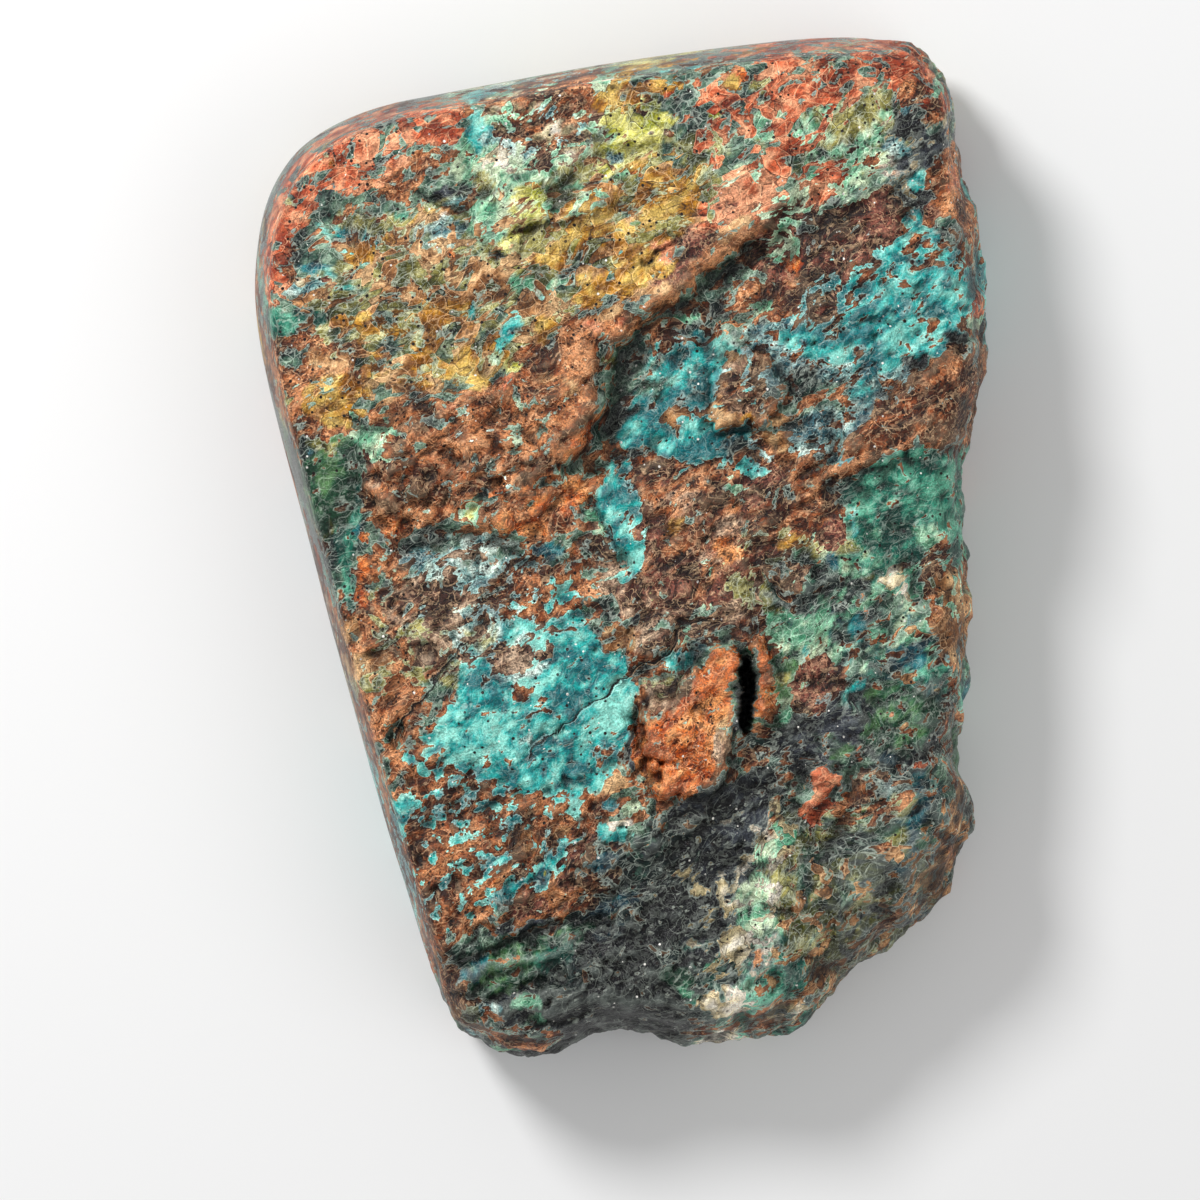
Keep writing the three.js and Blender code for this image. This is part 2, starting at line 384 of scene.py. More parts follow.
def polishAt(turn):
    angle = np.degrees(turn) % 360
    fade = slab["polishFade"]
    begun = smooth(slab["polishedFrom"] - fade, slab["polishedFrom"] + fade, angle)
    return begun * smooth(slab["polishedTo"] + fade, slab["polishedTo"] - fade, angle)


# A fine grid, its edge drawn down round the lower edge and closed with the flat back. A vertex keeps its
# place on the grid in x and y, and in z the number of its ring below the widest one.
def slabMesh():
    mesh = bmesh.new()
    across, along = slab["cells"]
    bmesh.ops.create_grid(mesh, x_segments=across, y_segments=along, size=1)
    edge = [e for e in mesh.edges if e.is_boundary]
    for ring in range(1, slab["backRings"] + 1):
        made = bmesh.ops.extrude_edge_only(mesh, edges=edge)["geom"]
        for vertex in made:
            if isinstance(vertex, bmesh.types.BMVert):
                vertex.co.z = -ring
        edge = [e for e in made if isinstance(e, bmesh.types.BMEdge)]
    bmesh.ops.contextual_create(mesh, geom=edge)
    bmesh.ops.recalc_face_normals(mesh, faces=mesh.faces)
    return mesh


# The ore's minerals. tones are sRGB: dark, middle, light. grain says how a mineral's texture runs, and base
# how much of it there is everywhere. A patch is x, y, half length, half width, turn and strength, an area a
# strength and an outline. Strength 0.6 to 0.8 only mixes a mineral in, and 1 or more lets it show almost
# everywhere.
minerals = {
    "rust": {
        "family": "warm", "grain": "granular",
        "tones": [(70, 34, 20), (152, 84, 50), (212, 144, 100)],
        "base": 0.34,
        "patches": [
            (-18, 29.5, 3, 1.8, 20), (-15, 31, 2, 1), (-21.5, 27.2, 0.6, 0.6), (-12, 31, 0.8, 0.6),
            (-4.5, 37.8, 6, 0.8, 9), (20, 31, 0.8, 0.6), (23.5, 36.5, 1.2, 1.2), (25, 35.5, 1, 1.5),
            (27, 33, 0.8, 2.5), (27.5, 26.5, 0.8, 2), (-25.5, 16.5, 1.5, 0.7), (-23, 16, 0.6, 0.5),
            (-28.3, 16, 0.5, 1.5), (-25.5, 14.8, 0.5, 0.4), (-27, 13, 1.3, 1.2), (-24.5, 7, 0.4, 0.3),
            (-3.5, 17, 2, 1.2), (-7, 15.5, 2, 0.8), (0, 18, 2, 1), (3, 6, 3, 2, 0, 0.9),
            (21.5, 21.8, 1.5, 0.7), (25.5, 22.5, 2, 0.5), (11.5, 15, 1, 0.6), (-16.5, 1.7, 1, 0.5),
            (-8.2, 2.8, 1, 0.8), (-7, -1, 1, 0.7), (-9.5, 0.8, 0.9, 0.3, -30), (-17, -11.5, 1.5, 1.3),
            (-19.5, -14.5, 1.2, 1), (9, 3, 1, 0.8), (-5.5, 2.5, 1.5, 1.2), (-3.5, -3.2, 0.8, 1),
            (-11, -17, 1, 0.5), (-8.7, -16.8, 1, 0.5), (-14.7, -17.3, 0.7, 0.5), (-6.5, -15.3, 0.7, 0.4),
            (-18, -16.5, 0.6, 1.5), (-9, -33, 1.5, 0.4), (-9, -39.5, 4, 0.8, -15), (-2, -21, 1.5, 0.8),
            (11.3, -33, 0.5, 0.7), (8.3, -33.2, 0.3, 0.4), (20, -18.5, 2, 0.8), (21.5, -30, 3.2, 0.6, 39),
            (20, 19, 9, 7, 0, 0.66), (-24, 14, 4, 6, 0, 0.75), (-20, -8, 4, 9, -15, 0.78),
            (8, 2, 10, 6, 20, 0.75), (-16.5, -28, 1.4, 4, -15), (14, 12, 6, 4, 20, 0.78),
            (10.5, -7.7, 0.7, 0.6), (11.6, -10, 0.5, 1.6, 20), (12, -12.6, 0.6, 1.6),
            (11.2, -14.6, 0.7, 0.6), (-14, -37, 2, 2, 0, 1), (25.3, -3, 1.6, 5, 0, 0.95),
            (5.5, 18.5, 5, 3, 30, 0.74), (7.5, 23.2, 6, 0.7, 35, 1.1), (-17.2, -27, 1.2, 5, -15, 1.35),
            (-8, 3, 5, 2, 15, 0.95), (24.5, 12, 4, 3, 20, 1.1), (-8, 36.5, 3, 1.2, 10, 1.02),
            (-15, -25, 3.5, 8, -18, 0.93), (-16, -30, 2, 4, -15, 1.05), (-9, -22, 5, 3, 20, 0.9),
            (-5, -27.5, 4, 2, 20, 1), (-6, 34.5, 4.5, 3, 20, 1.08), (-16, -33, 2.5, 4, 0, 1),
            (7.5, 20, 3.5, 2, 30, 0.95), (-7, -4, 4, 2.5, 0, 0.95), (10.5, 11.8, 2.4, 1.8, 0, 1.2),
            (20, -20.5, 4, 2, 20, 0.95), (-7.5, -12.5, 2.5, 1.4, -30, 0.97),
            (-14.5, -36.5, 2.5, 3, 0, 1.2), (-1, -16.5, 1, 1.5, -30, 0.95), (-11, -13.5, 2, 0.6, -50, 0.9),
            (26.5, -24, 1.6, 3, 0, 1), (26, 29.5, 1.8, 3, 0, 1.05), (-5, -28.5, 3, 1, 20, 1.08),
        ],
        "areas": [
            (1, [(-20, 10), (-14, 12), (-9, 14.2), (-3, 17.3), (-1.7, 15.5), (-1.8, 12.5), (-2.8, 9.5),
                 (-4.5, 6.5), (-8, 4.8), (-12, 4), (-15, 1.5), (-18, 0.5), (-20, 1.5), (-20.3, 6)]),
            (1.1, [(14.5, 5), (17, 7), (18.5, 9.5), (20, 11.3), (22, 12.5), (24, 13.5), (25.5, 15.5),
                   (28, 16), (29, 14), (28.3, 11), (27.6, 9), (26.5, 8), (23, 8), (20, 6.5), (17, 5),
                   (15, 4)]),
            (0.95, [(-20, -14), (-18, -17), (-17.5, -20), (-17, -22), (-15, -26), (-14.5, -30),
                    (-12, -31.5), (-10, -29), (-8, -26), (-4, -24.5), (-3, -22), (-5, -20), (-8, -19.5),
                    (-13, -17.5), (-16, -18)]),
        ],
    },
    "coral": {
        "family": "warm", "grain": "flaky",
        "tones": [(150, 62, 40), (224, 116, 80), (248, 176, 138)],
        "patches": [
            (4, 36.3, 0.8, 0.3), (6.8, 36, 1.6, 0.3, 20), (6.2, 36.9, 0.5, 0.4), (5.7, 32.5, 1.2, 0.5),
            (6.8, 32.2, 0.8, 1, 45), (7.5, 31, 0.4, 0.8, -20), (-4, 37, 1.8, 0.9, 0, 0.9),
            (-3.3, 35.5, 1.6, 1, 0, 0.9), (11, 30, 3.5, 1.4, 25), (12, 39, 1.5, 1), (12.5, 38, 2, 1, 20),
            (20.5, 38.5, 2.6, 0.9, 10), (17.5, 37, 3, 0.7, 25), (16, 36.5, 1.5, 0.6), (13, 35.5, 1.2, 0.8),
            (14.7, 33.3, 0.6, 0.4), (9, 33, 1.5, 0.4, 30), (17, 39.7, 3, 0.6), (21, 39.8, 2, 0.5, -5),
            (26.5, 29.5, 0.9, 1.8), (-27.5, 23, 1.2, 1.5), (-27.5, 20.5, 1.3, 1.3),
            (-13, 11.5, 2, 0.7, 20, 0.95), (-9, 13.5, 1.5, 0.8, 20, 0.95), (28.7, 19.5, 0.6, 1.5),
            (-19.5, -14.5, 1, 0.8, 0, 0.95), (19.7, -5.3, 0.4, 0.8), (21.2, -13.2, 0.8, 0.3, 25),
            (-10, -27.5, 1.2, 1.3, 0, 0.95), (13.5, -26.8, 0.5, 0.4), (16.2, -18.5, 1.5, 1.2),
            (15.5, -20.3, 0.9, 0.9), (23.5, -17.3, 1.5, 0.5), (19.5, -16.5, 0.5, 1),
            (14, 36, 10, 3.5, 10, 0.78), (10, 29, 5, 3, 30, 0.75), (22, 37, 5, 3, 0, 0.8),
            (10.5, 29.2, 3.5, 1.5, 30, 1.15), (8, 26.3, 3, 1, 30), (3.5, 23.5, 3, 0.7, 30, 1.05),
            (14, 32, 4, 1, 30), (-1.5, 17.8, 2.5, 0.8, 20), (12, 36, 6, 2, 12, 0.95),
            (19, 37.5, 5, 2, 5, 1), (9, 28.5, 4.5, 1.6, 30, 1.1), (16, 29.5, 3, 1.5, 10, 0.95),
            (13, 31.5, 4, 1.2, 20, 1), (16.3, -18.6, 1.5, 1.3, 0, 1.3), (15.7, -20.8, 1.2, 1.7, -15, 1.25),
            (25, 36.5, 1.8, 2.5, 0, 1),
        ],
        "areas": [
            (1.1, [(-29.5, 22), (-28.5, 27), (-27.5, 30), (-25, 33), (-21, 34.8), (-16, 36), (-12.5, 35.5),
                   (-12.4, 32.5), (-13.5, 32), (-17, 31.8), (-17.5, 30), (-20, 28), (-24, 28),
                   (-25.5, 25.5), (-27, 23.5)]),
        ],
    },
    "orange": {
        "family": "warm", "grain": "granular",
        "tones": [(158, 66, 26), (220, 112, 52), (244, 168, 108)],
        "patches": [
            (-13.6, 23.5, 0.4, 0.4), (10, 37.8, 0.8, 0.5), (0.9, 29.7, 0.8, 0.3), (0.3, 14.7, 0.5, 0.25),
            (13.5, 23, 1, 0.8), (-12.7, 5.7, 0.7, 0.5), (-20.3, -1.5, 0.6, 1.3), (-20.6, -4.2, 0.6, 1.2),
            (-20.3, 0.5, 0.5, 0.7), (-18.5, 2, 1.3, 1), (8.5, -0.5, 1.3, 1), (3.5, -15, 2, 1.5),
            (11, -9, 0.6, 2), (11.3, -12.8, 1, 0.8), (-10, -27.5, 1, 1, 0, 0.95), (-9, 8, 8, 4, 20, 0.6),
            (-7, 2.6, 4, 1.6, 15, 0.98), (-4, 4.2, 1.5, 1.2, 0, 0.98), (11.3, -10.5, 0.8, 3.6, 8, 1.25),
            (3.2, -16.5, 2.2, 3, 0, 1.2),
        ],
        "areas": [
            (1.2, [(1.3, -14), (2.8, -14.2), (4.5, -12.8), (6, -10.5), (7.3, -8.2), (8.7, -7.5),
                   (9.3, -8.5), (9.2, -11), (8.3, -12.5), (7.2, -15), (7.6, -17.5), (6.4, -19.6),
                   (3, -20.5), (2.3, -18)]),
        ],
    },
    "maroon": {
        "family": "warm", "grain": "granular",
        "tones": [(40, 18, 16), (86, 42, 34), (146, 90, 76)],
        "patches": [
            (6.2, 24.5, 2, 1.6, 30), (8.5, 27.3, 1.8, 0.5, 20), (25, 27, 0.8, 0.6),
            (-23.5, 21.3, 1.3, 0.4, 15), (2.5, 21.2, 1.3, 0.6), (5, 22.3, 2, 1, 40), (16.5, 22, 2.5, 2),
            (15.8, 19, 0.8, 1.2), (3, 6, 2.5, 1.6, 0, 0.95), (2.5, 1.5, 2, 1.5, 45), (3, -2.5, 1.5, 1.2),
            (5, -3, 1.5, 0.8), (5, -1, 1.5, 1), (17, 1, 1, 1.8), (16.2, -3.2, 1, 0.8),
            (16.3, -10.3, 1.3, 1.3), (15.5, -12.8, 1.8, 1), (-8, -26, 1, 0.8), (-7, -28.8, 2, 0.8),
            (-4, -26.5, 1, 1), (16, 24, 6, 5, 0, 0.7), (7, 0, 8, 5, 20, 0.74), (-3, -26, 6, 3, 0, 0.7),
            (-12, 8, 7, 4, 20, 0.62), (16.5, 20, 1.8, 2.6, -20), (19.5, 25.5, 3, 1.5, 30),
            (-7, -28.5, 1.6, 1.2, 20, 1.2), (-14, -36.5, 2, 2, 0, 0.95), (-20.5, 5.5, 0.8, 2.5, 0, 0.95),
            (-6, 34.5, 2, 1.5, 0, 1), (-9.5, 33, 1, 1.2, 0, 1), (11.5, 5, 3, 2, 20, 0.9),
            (16, -11, 2.4, 2.4, 0, 1.12),
        ],
        "areas": [
            (1.1, [(16, 27.5), (20, 28), (22, 29.5), (23.5, 27), (22, 25), (18, 22), (14.5, 23),
                   (15.5, 26)]),
        ],
    },
    "tan": {
        "family": "warm", "grain": "flaky",
        "tones": [(122, 80, 48), (190, 138, 92), (234, 194, 146)],
        "patches": [
            (8.5, 25.3, 2.2, 0.8, 30), (27.5, 26.5, 0.7, 1.5, 0, 0.95), (-25, 19.4, 2, 0.4, -10),
            (-11.5, 21.5, 2, 1.5), (-13.3, 21.5, 0.8, 0.9), (-24, 11.3, 0.9, 0.25, 25),
            (-17.5, 12.5, 0.7, 0.5), (-17.2, 14, 2, 0.5, -5), (-15.5, 13.7, 0.6, 0.3),
            (3, 21, 3.2, 0.6, 17), (-1, 19.2, 1.3, 0.6, 35), (-3.5, 12.5, 1.5, 1), (-5, 13, 2, 1),
            (4.5, 10.7, 1, 0.8), (7.5, 10.2, 0.8, 0.8, -40), (12.5, 9.5, 1.2, 1.2), (13, 8.3, 0.8, 0.6),
            (-21.7, -7, 1.2, 1.3), (-20, -9.5, 2, 1.5), (0, -7, 1.5, 1), (8, -14.5, 0.8, 1.5),
            (23, -6.5, 1, 0.5), (22.5, -10.6, 1, 0.5), (22, -14.5, 0.8, 0.2, 40), (-7.5, -23.5, 1.2, 1.2),
            (-5, -23, 1, 1), (-0.8, -18.8, 1.2, 0.8), (11.8, -34.5, 1.2, 0.4, -30),
            (13.3, -36.7, 1.5, 0.5, 20), (26.5, -22, 1, 1.8), (27.3, -19.5, 0.6, 1), (26, -25.5, 1.2, 1.5),
            (-15, 20, 13, 8, 20, 0.72), (1, 27, 9, 6, 20, 0.68), (17, -30, 5, 6, -30, 0.72),
            (-23.3, 21.2, 1.6, 0.3, 10, 1.1), (-15.5, -34, 2, 2.5, 0, 0.95), (7.2, 10.4, 1.2, 1, 0, 1.3),
            (8.6, 13.8, 0.9, 2.2, -20, 1.25), (24, -26, 3, 4, 0, 0.93),
        ],
        "areas": [
            (1.3, [(8, 12.5), (8.5, 15), (9.3, 15.4), (9, 13), (8.2, 11.4), (10, 10.6), (12, 10.9),
                   (11, 10), (9, 9.5), (7.8, 9.2), (6.5, 10.8)]),
            (1.1, [(24.5, -2.5), (26.5, -1), (27.5, -3), (27.8, -8), (27.3, -10.5), (26, -8), (24.5, -7),
                   (25.5, -5), (25, -4)]),
        ],
    },
    "gold": {
        "family": "warm", "grain": "flaky",
        "tones": [(126, 78, 22), (198, 142, 54), (236, 202, 116)],
        "patches": [
            (-22.6, 30.6, 0.8, 0.4), (-21, 23.5, 1.6, 1, 30), (-19, 24.8, 1.2, 0.5),
            (-15, 27.1, 0.7, 0.3, -25), (-16.2, 26.5, 0.5, 0.3, 45), (3.6, 36.9, 1.4, 0.8, 10),
            (9, 37, 1.1, 0.8), (2.8, 31.5, 0.5, 0.6), (4.5, 31.3, 1.2, 0.7, 10), (-0.8, 29.3, 0.5, 0.3),
            (-1.8, 28.3, 0.7, 0.5), (-3.5, 26.9, 2.2, 0.6, 20), (-2.6, 25, 0.5, 1),
            (5, 29.5, 2.5, 0.9, 30), (3.2, 25.7, 0.8, 0.3, 20), (2.5, 22.8, 1.2, 0.6),
            (-7, 28.8, 1.4, 0.5, 0, 0.95), (-21, 18, 2.2, 1.3, 0, 1), (-14.5, 17.5, 1.6, 1.2),
            (-13, 19, 1.5, 0.9), (-15, 19.5, 1.4, 0.5), (-15.3, 16, 1.5, 0.9), (-12.5, 14.5, 1.5, 1.1, 30),
            (-21.5, 13, 1.3, 0.8), (-22.5, 10, 1.3, 0.5), (-22.3, 11, 1.2, 0.7),
            (-23, 12, 3, 2.5, 0, 0.85), (-16.2, 12.9, 0.8, 0.4), (-1, 21.3, 2.5, 0.9, 15),
            (0.7, 21.8, 0.9, 0.7), (2.5, 22.8, 1.5, 0.9), (-3.5, 21.8, 1.5, 0.5), (-3, 20, 1.5, 0.4),
            (-5.9, 16.4, 0.6, 0.6), (-6.2, 17.5, 1, 1), (10, 10.3, 1.2, 0.4), (10.5, 1, 1.2, 0.8, 0, 0.8),
            (4.5, 2, 1.5, 1, 0, 0.75), (13.5, 0.5, 2.5, 0.9, 0, 0.8), (0, 26, 9, 5, 20, 0.72),
            (-15, 16, 8, 4, 10, 0.7), (0, 36, 3, 1.6, 10, 0.95), (-3.5, 24.5, 4, 1.5, 30),
            (4, 27.5, 4, 1.2, 35), (2, 21.8, 3, 0.9, 25),
        ],
        "areas": [
            (0.85, [(-3, 26), (2, 30), (8, 31), (5, 27), (2, 23), (-3, 22)]),
        ],
    },
    "lime": {
        "family": "cool", "grain": "flaky",
        "tones": [(140, 146, 40), (202, 200, 80), (236, 232, 140)],
        "patches": [
            (2.7, 33.9, 2.2, 0.9, 10), (0, 32, 1, 0.6), (7.8, 34.6, 0.7, 0.4), (-1.2, 31.8, 0.9, 0.4, 30),
            (-8.7, 14.8, 0.9, 0.4, -20), (-12, 3, 0.8, 1), (2.8, -3.7, 0.8, 0.3, -60), (-6, -26, 0.6, 0.3),
            (1, 34.5, 3, 1.6, 20, 0.95), (0.5, 31.5, 4, 1.6, 30, 0.9),
        ],
        "areas": [
            (1.25, [(-8.8, 28.8), (-7, 29.2), (-5.4, 28.3), (-6.2, 27), (-5.6, 26.2), (-7.6, 25.2),
                    (-8.6, 23.6), (-9.6, 24.2), (-8.6, 26)]),
        ],
    },
    "olive": {
        "family": "cool", "grain": "flaky",
        "tones": [(66, 70, 30), (128, 124, 62), (178, 172, 104)],
        "patches": [
            (-23.8, 31.6, 2, 0.4, -25), (-27.2, 27.3, 0.6, 0.35), (-20, 26.3, 3.5, 1), (-11, 29, 1.4, 0.8),
            (-4, 29.5, 2, 1), (-6, 24.5, 3.5, 1.5), (16.5, 38.5, 0.9, 0.5), (11.5, 37, 1.2, 0.6),
            (13.3, 34.7, 0.6, 0.4), (-23, 20.5, 1.8, 0.8), (-16, 22, 2.5, 1.3),
            (-16.5, 22, 3.5, 2, 0, 0.85), (-26.5, 12, 1.2, 0.5), (-23.5, 8.2, 1.5, 0.6),
            (-0.8, 15, 0.8, 0.6), (-23.5, 1.5, 1, 0.8), (-16.5, 4.8, 0.8, 0.5), (-15.5, -7, 2.5, 1.3),
            (-19.5, -10.7, 1.5, 0.9), (10, -3, 1.5, 1.5), (3.5, -11.3, 2, 1.2, 0, 0.95),
            (11, -4, 1.5, 1.2), (25.5, -3, 1, 0.8), (13, -10.2, 0.9, 0.8), (-12, -37, 1, 0.8),
            (-14, 21, 13, 8, 20, 0.75), (1, 30, 9, 7, 20, 0.75), (17, 34, 8, 5, 0, 0.7),
            (14, -2, 7, 4, 0, 0.7), (-15, -6, 6, 6, 0, 0.66), (18, -27, 8, 8, -40, 0.75),
            (18, -29, 4, 6, -35, 0.95),
        ],
        "areas": [
            (0.8, [(-3, 26), (2, 30), (8, 31), (5, 27), (2, 23), (-3, 22)]),
            (0.95, [(15, 36), (18, 36.5), (22, 37), (21.5, 33), (17, 31.5), (15, 33)]),
            (0.78, [(15, -24), (18, -20), (22, -19.5), (24, -19), (23, -23), (24, -26), (25.5, -28),
                    (20, -31.5), (15.5, -36), (14.5, -33), (13.5, -29)]),
        ],
    },
    "mint": {
        "family": "cool", "grain": "flaky",
        "tones": [(74, 142, 110), (138, 204, 166), (214, 236, 200)],
        "patches": [
            (-23.5, 32.7, 1, 0.35), (-25.4, 29.1, 0.3, 0.4), (-9, 34.5, 1.5, 1.5, 0, 0.9),
            (-9, 31.5, 1.5, 1.2, 0, 0.95), (-10.5, 25.5, 2.2, 1.6), (-1.5, 37, 1.4, 0.8),
            (-1.7, 35.4, 0.6, 0.4), (2.4, 37.5, 0.5, 0.3), (-7, 27.4, 1.8, 0.7), (-9, 26.3, 1.4, 1),
            (12, 33, 1, 0.5), (25.7, 37, 0.5, 1.2), (21, 34.8, 1, 0.8), (17, 33, 1.2, 0.7),
            (20, 33, 1.5, 1), (18, 31.7, 2, 0.5), (18.5, 29.3, 2.8, 0.9, 5), (14.5, 28.7, 1, 0.6),
            (13, 24.5, 1.6, 1.8), (-10.3, 15.2, 0.7, 0.5, -30), (-18.3, 9.5, 0.5, 0.5),
            (-21.8, 10.6, 0.8, 0.35), (-20, 9, 2, 1.2, 35), (-19, 8.5, 0.8, 0.5), (-19.8, 7.5, 1.2, 1),
            (-8, 21.3, 0.8, 1.2, 40), (-5.5, 21, 1.5, 0.4, 20), (11.3, 19.3, 1, 0.6),
            (5.5, 18, 2, 1, 0, 0.95), (-8.2, 11.5, 0.3, 1.5), (-9, 8.8, 0.8, 0.6), (9, 5, 1, 0.8),
            (28.6, 18, 0.5, 0.6), (-12, 3, 1, 1.3), (-1.9, 1.6, 1.3, 0.5, -60), (6.8, -2.2, 1, 0.4, -60),
            (7.3, -4, 0.6, 0.3), (4.8, -7, 0.6, 0.9), (24.5, 0.5, 1.5, 1.2), (21, -7, 0.6, 0.6),
            (23, -4.8, 0.6, 0.8), (13.3, -12.8, 1, 1.2), (-7.5, -36.5, 1.3, 0.7), (-6.5, -38, 0.8, 0.4),
            (0.7, -20.8, 0.8, 0.6), (11.3, -27.5, 1.2, 1.8), (12.3, -30, 1, 0.6), (7.2, -33.3, 0.7, 0.4),
            (5.3, -35.8, 1, 0.6), (12, -24, 2, 1.2, 25), (-6, 31, 8, 6, 10, 0.78), (15, 31, 8, 6, 0, 0.68),
            (20, -4, 8, 7, 0, 0.7), (-11, 27.5, 1.6, 1.1, 20), (12.3, -23.6, 2.4, 1.3, 40, 1.2),
            (10.5, -29, 1.6, 2.4, 10, 1.1), (4.5, -35, 1.5, 1, 20, 1.1),
        ],
        "areas": [
            (1.2, [(-12.2, 26.6), (-10.5, 28), (-8, 28.8), (-8.2, 26), (-9.2, 24.2), (-11, 24.2),
                   (-12, 25.2)]),
            (1, [(11, -5.5), (13, -5), (15, -4.2), (17, -3.8), (17, -6), (16.5, -7.5), (18, -8),
                 (17.5, -9.7), (15, -9), (13.5, -8.5), (12, -8), (11, -7)]),
        ],
    },
    "turquoise": {
        "family": "cool", "grain": "waxy",
        "tones": [(14, 108, 116), (48, 184, 180), (150, 232, 220)],
        "patches": [
            (-11, 33, 1.2, 1.6), (-10, 33.5, 0.6, 0.5), (2.5, 38.4, 0.5, 0.3), (3.8, 38.5, 0.7, 0.35),
            (5.5, 38.8, 1.2, 0.35, 12), (3.6, 24.7, 0.5, 0.35), (0.4, 23.2, 0.4, 0.3), (24.3, 29.4, 1, 1),
            (23.6, 26, 0.8, 0.9), (25, 24.8, 1.2, 0.8, -40), (22, 24.3, 1.5, 0.8, 20),
            (21, 23.2, 0.6, 0.4), (-11.8, 19, 0.5, 0.8), (4.9, 14.2, 0.8, 0.6), (7.5, 14.5, 1, 0.8),
            (7, 13, 0.9, 1), (4, 12.3, 1.5, 0.5), (5.8, 11.5, 1, 0.7), (6.2, 9.3, 1.5, 1.3),
            (6.8, 7.5, 0.8, 0.8), (1.5, 9, 1.6, 1), (0.6, 6.6, 0.6, 0.5), (-0.2, 5, 1, 1),
            (-0.5, 6.3, 0.5, 0.4), (4.8, 6, 0.6, 0.3), (3.4, 7.6, 0.4, 0.4), (19.5, 20.8, 1.5, 0.9),
            (26, 20.8, 2.5, 1.5), (22, 19.2, 1.5, 0.9), (20.8, 17, 1.8, 1.3), (18.5, 18.5, 1.2, 1),
            (23.5, 17.5, 1.2, 1), (14, 17, 1.8, 0.9, 45), (15, 15.5, 1.2, 0.6), (19.5, 12.3, 1.5, 0.7),
            (10.5, 6.3, 1.3, 1), (-21.3, 2.2, 0.6, 2, 5, 1), (-4.5, -3.5, 1.5, 1), (0, -2.5, 0.6, 0.6),
            (4.8, -9, 1.2, 0.8), (14.2, -8.2, 0.6, 0.4), (19, -6.5, 0.8, 0.8), (19, -11.2, 0.8, 0.6),
            (18.5, 1.8, 0.4, 1.8), (-15.5, -22.5, 1, 0.7), (-13, -23, 0.8, 0.4, -45),
            (-11.4, -24.8, 0.7, 0.5), (-9.6, -24.3, 0.4, 0.4), (-11, -20.5, 0.4, 0.8),
            (-9.5, -19, 0.7, 0.7), (-14.5, -18.8, 0.5, 0.5), (-12.5, -26, 0.5, 0.6), (-14, -27, 1, 0.3),
            (-16, -26, 0.5, 0.5), (-16, -29, 0.5, 1), (-12, -29.3, 0.5, 0.3), (-16.7, -17, 0.5, 0.5),
            (-9.3, -25.2, 0.5, 0.2, 40), (-7.7, -20.5, 0.4, 0.7), (-3.5, -20.8, 1, 0.8),
            (-0.5, -23, 1.6, 0.8), (21, 19, 8, 5.5, 15, 0.9), (6, 12, 6, 6, 0, 0.84),
            (-14, -23, 5, 9, -20, 0.7), (20, -10, 7, 5, 0, 0.6), (-10, -23, 7, 6, 0, 0.79),
            (-14, -23, 4, 8, -20, 0.82), (-22, 24, 3, 4, 0, 0.7), (-11.3, 33, 1.2, 2, 0, 1.2),
            (25, 20.5, 3.5, 2.2, -20, 1.05), (20, 14.5, 3, 1.5, 20, 0.98), (2, 10.5, 2, 2, 0, 1),
            (6.3, 8.7, 1.8, 2.2, 0, 1.1), (-21.6, 23.6, 0.9, 0.6, 0, 1.1), (-24, 26, 0.5, 0.5, 0, 1),
        ],
        "areas": [
            (0.9, [(-10.5, 16.5), (-9, 18.5), (-7, 20.3), (-5.5, 20.8), (-6.5, 19), (-8, 17),
                   (-9.3, 15.5)]),
            (1.2, [(-2.2, 3.5), (-1.5, 5.5), (0.5, 5.8), (2, 3.8), (2.3, 1.5), (2.2, -0.5), (1.5, -1.8),
                   (0.3, -2.2), (-1, -0.5), (-1.8, 1.5)]),
            (1.15, [(-13.2, -9.8), (-12, -8), (-10.8, -9), (-10, -10.5), (-6, -10), (-4, -8.5), (0, -8),
                    (0.8, -11), (1, -14), (0.5, -16.5), (-1, -19), (-4, -20), (-9, -19), (-13, -17.5),
                    (-15.5, -15.5), (-14, -13.5), (-12.5, -12)]),
            (0.8, [(-10, -10.5), (-9, -4.5), (-5, -2.5), (-3.5, -5), (-1, -8), (-4, -9)]),
        ],
    },
    "sky": {
        "family": "cool", "grain": "speckled",
        "tones": [(52, 96, 108), (122, 178, 178), (216, 238, 230)],
        "patches": [
            (-14.5, 25, 2.5, 1.8, 0, 0.78), (-13, 27.8, 1.2, 0.7), (-14.2, 26.6, 0.8, 0.3, 5),
            (-0.5, 31, 1.5, 0.5, 15), (23, 35.2, 0.6, 0.6), (22.3, 32, 1.5, 1), (11.5, 24.5, 0.5, 0.5),
            (-25, 20.8, 2, 0.6, 15), (-26.6, 10.8, 0.3, 0.3), (-24.7, 7.6, 0.3, 0.3),
            (9.5, 8, 2, 1.2, 0, 0.95), (12.5, 16, 1, 0.5, 10), (12.3, 13.5, 1.2, 0.9),
            (21, 14.2, 3, 1.2, 0, 0.9), (17, 14, 1.5, 1), (16.5, 9.8, 2, 1.4), (14.5, 8.7, 1.2, 0.8),
            (-12, -2.5, 2.5, 1.6), (-13.5, -7.5, 1, 0.8), (6.5, -8.5, 0.9, 1.2, 0, 0.95),
            (-10.5, -36.8, 1.5, 0.5), (14, 13, 9, 6, 20, 0.62), (-12, -4, 7, 6, 0, 0.7),
            (-6, -13, 6, 5, 0, 0.7), (-11, 8, 6, 4, 20, 0.68), (-9, 32.5, 2.5, 2.5, 0, 0.96),
            (-5, 34, 3, 2, 0, 0.92), (10.8, 13.4, 1.2, 1.2, 0, 1.15),
        ],
    },
    "emerald": {
        "family": "cool", "grain": "glassy",
        "tones": [(4, 64, 56), (24, 118, 98), (104, 184, 156)],
        "patches": [
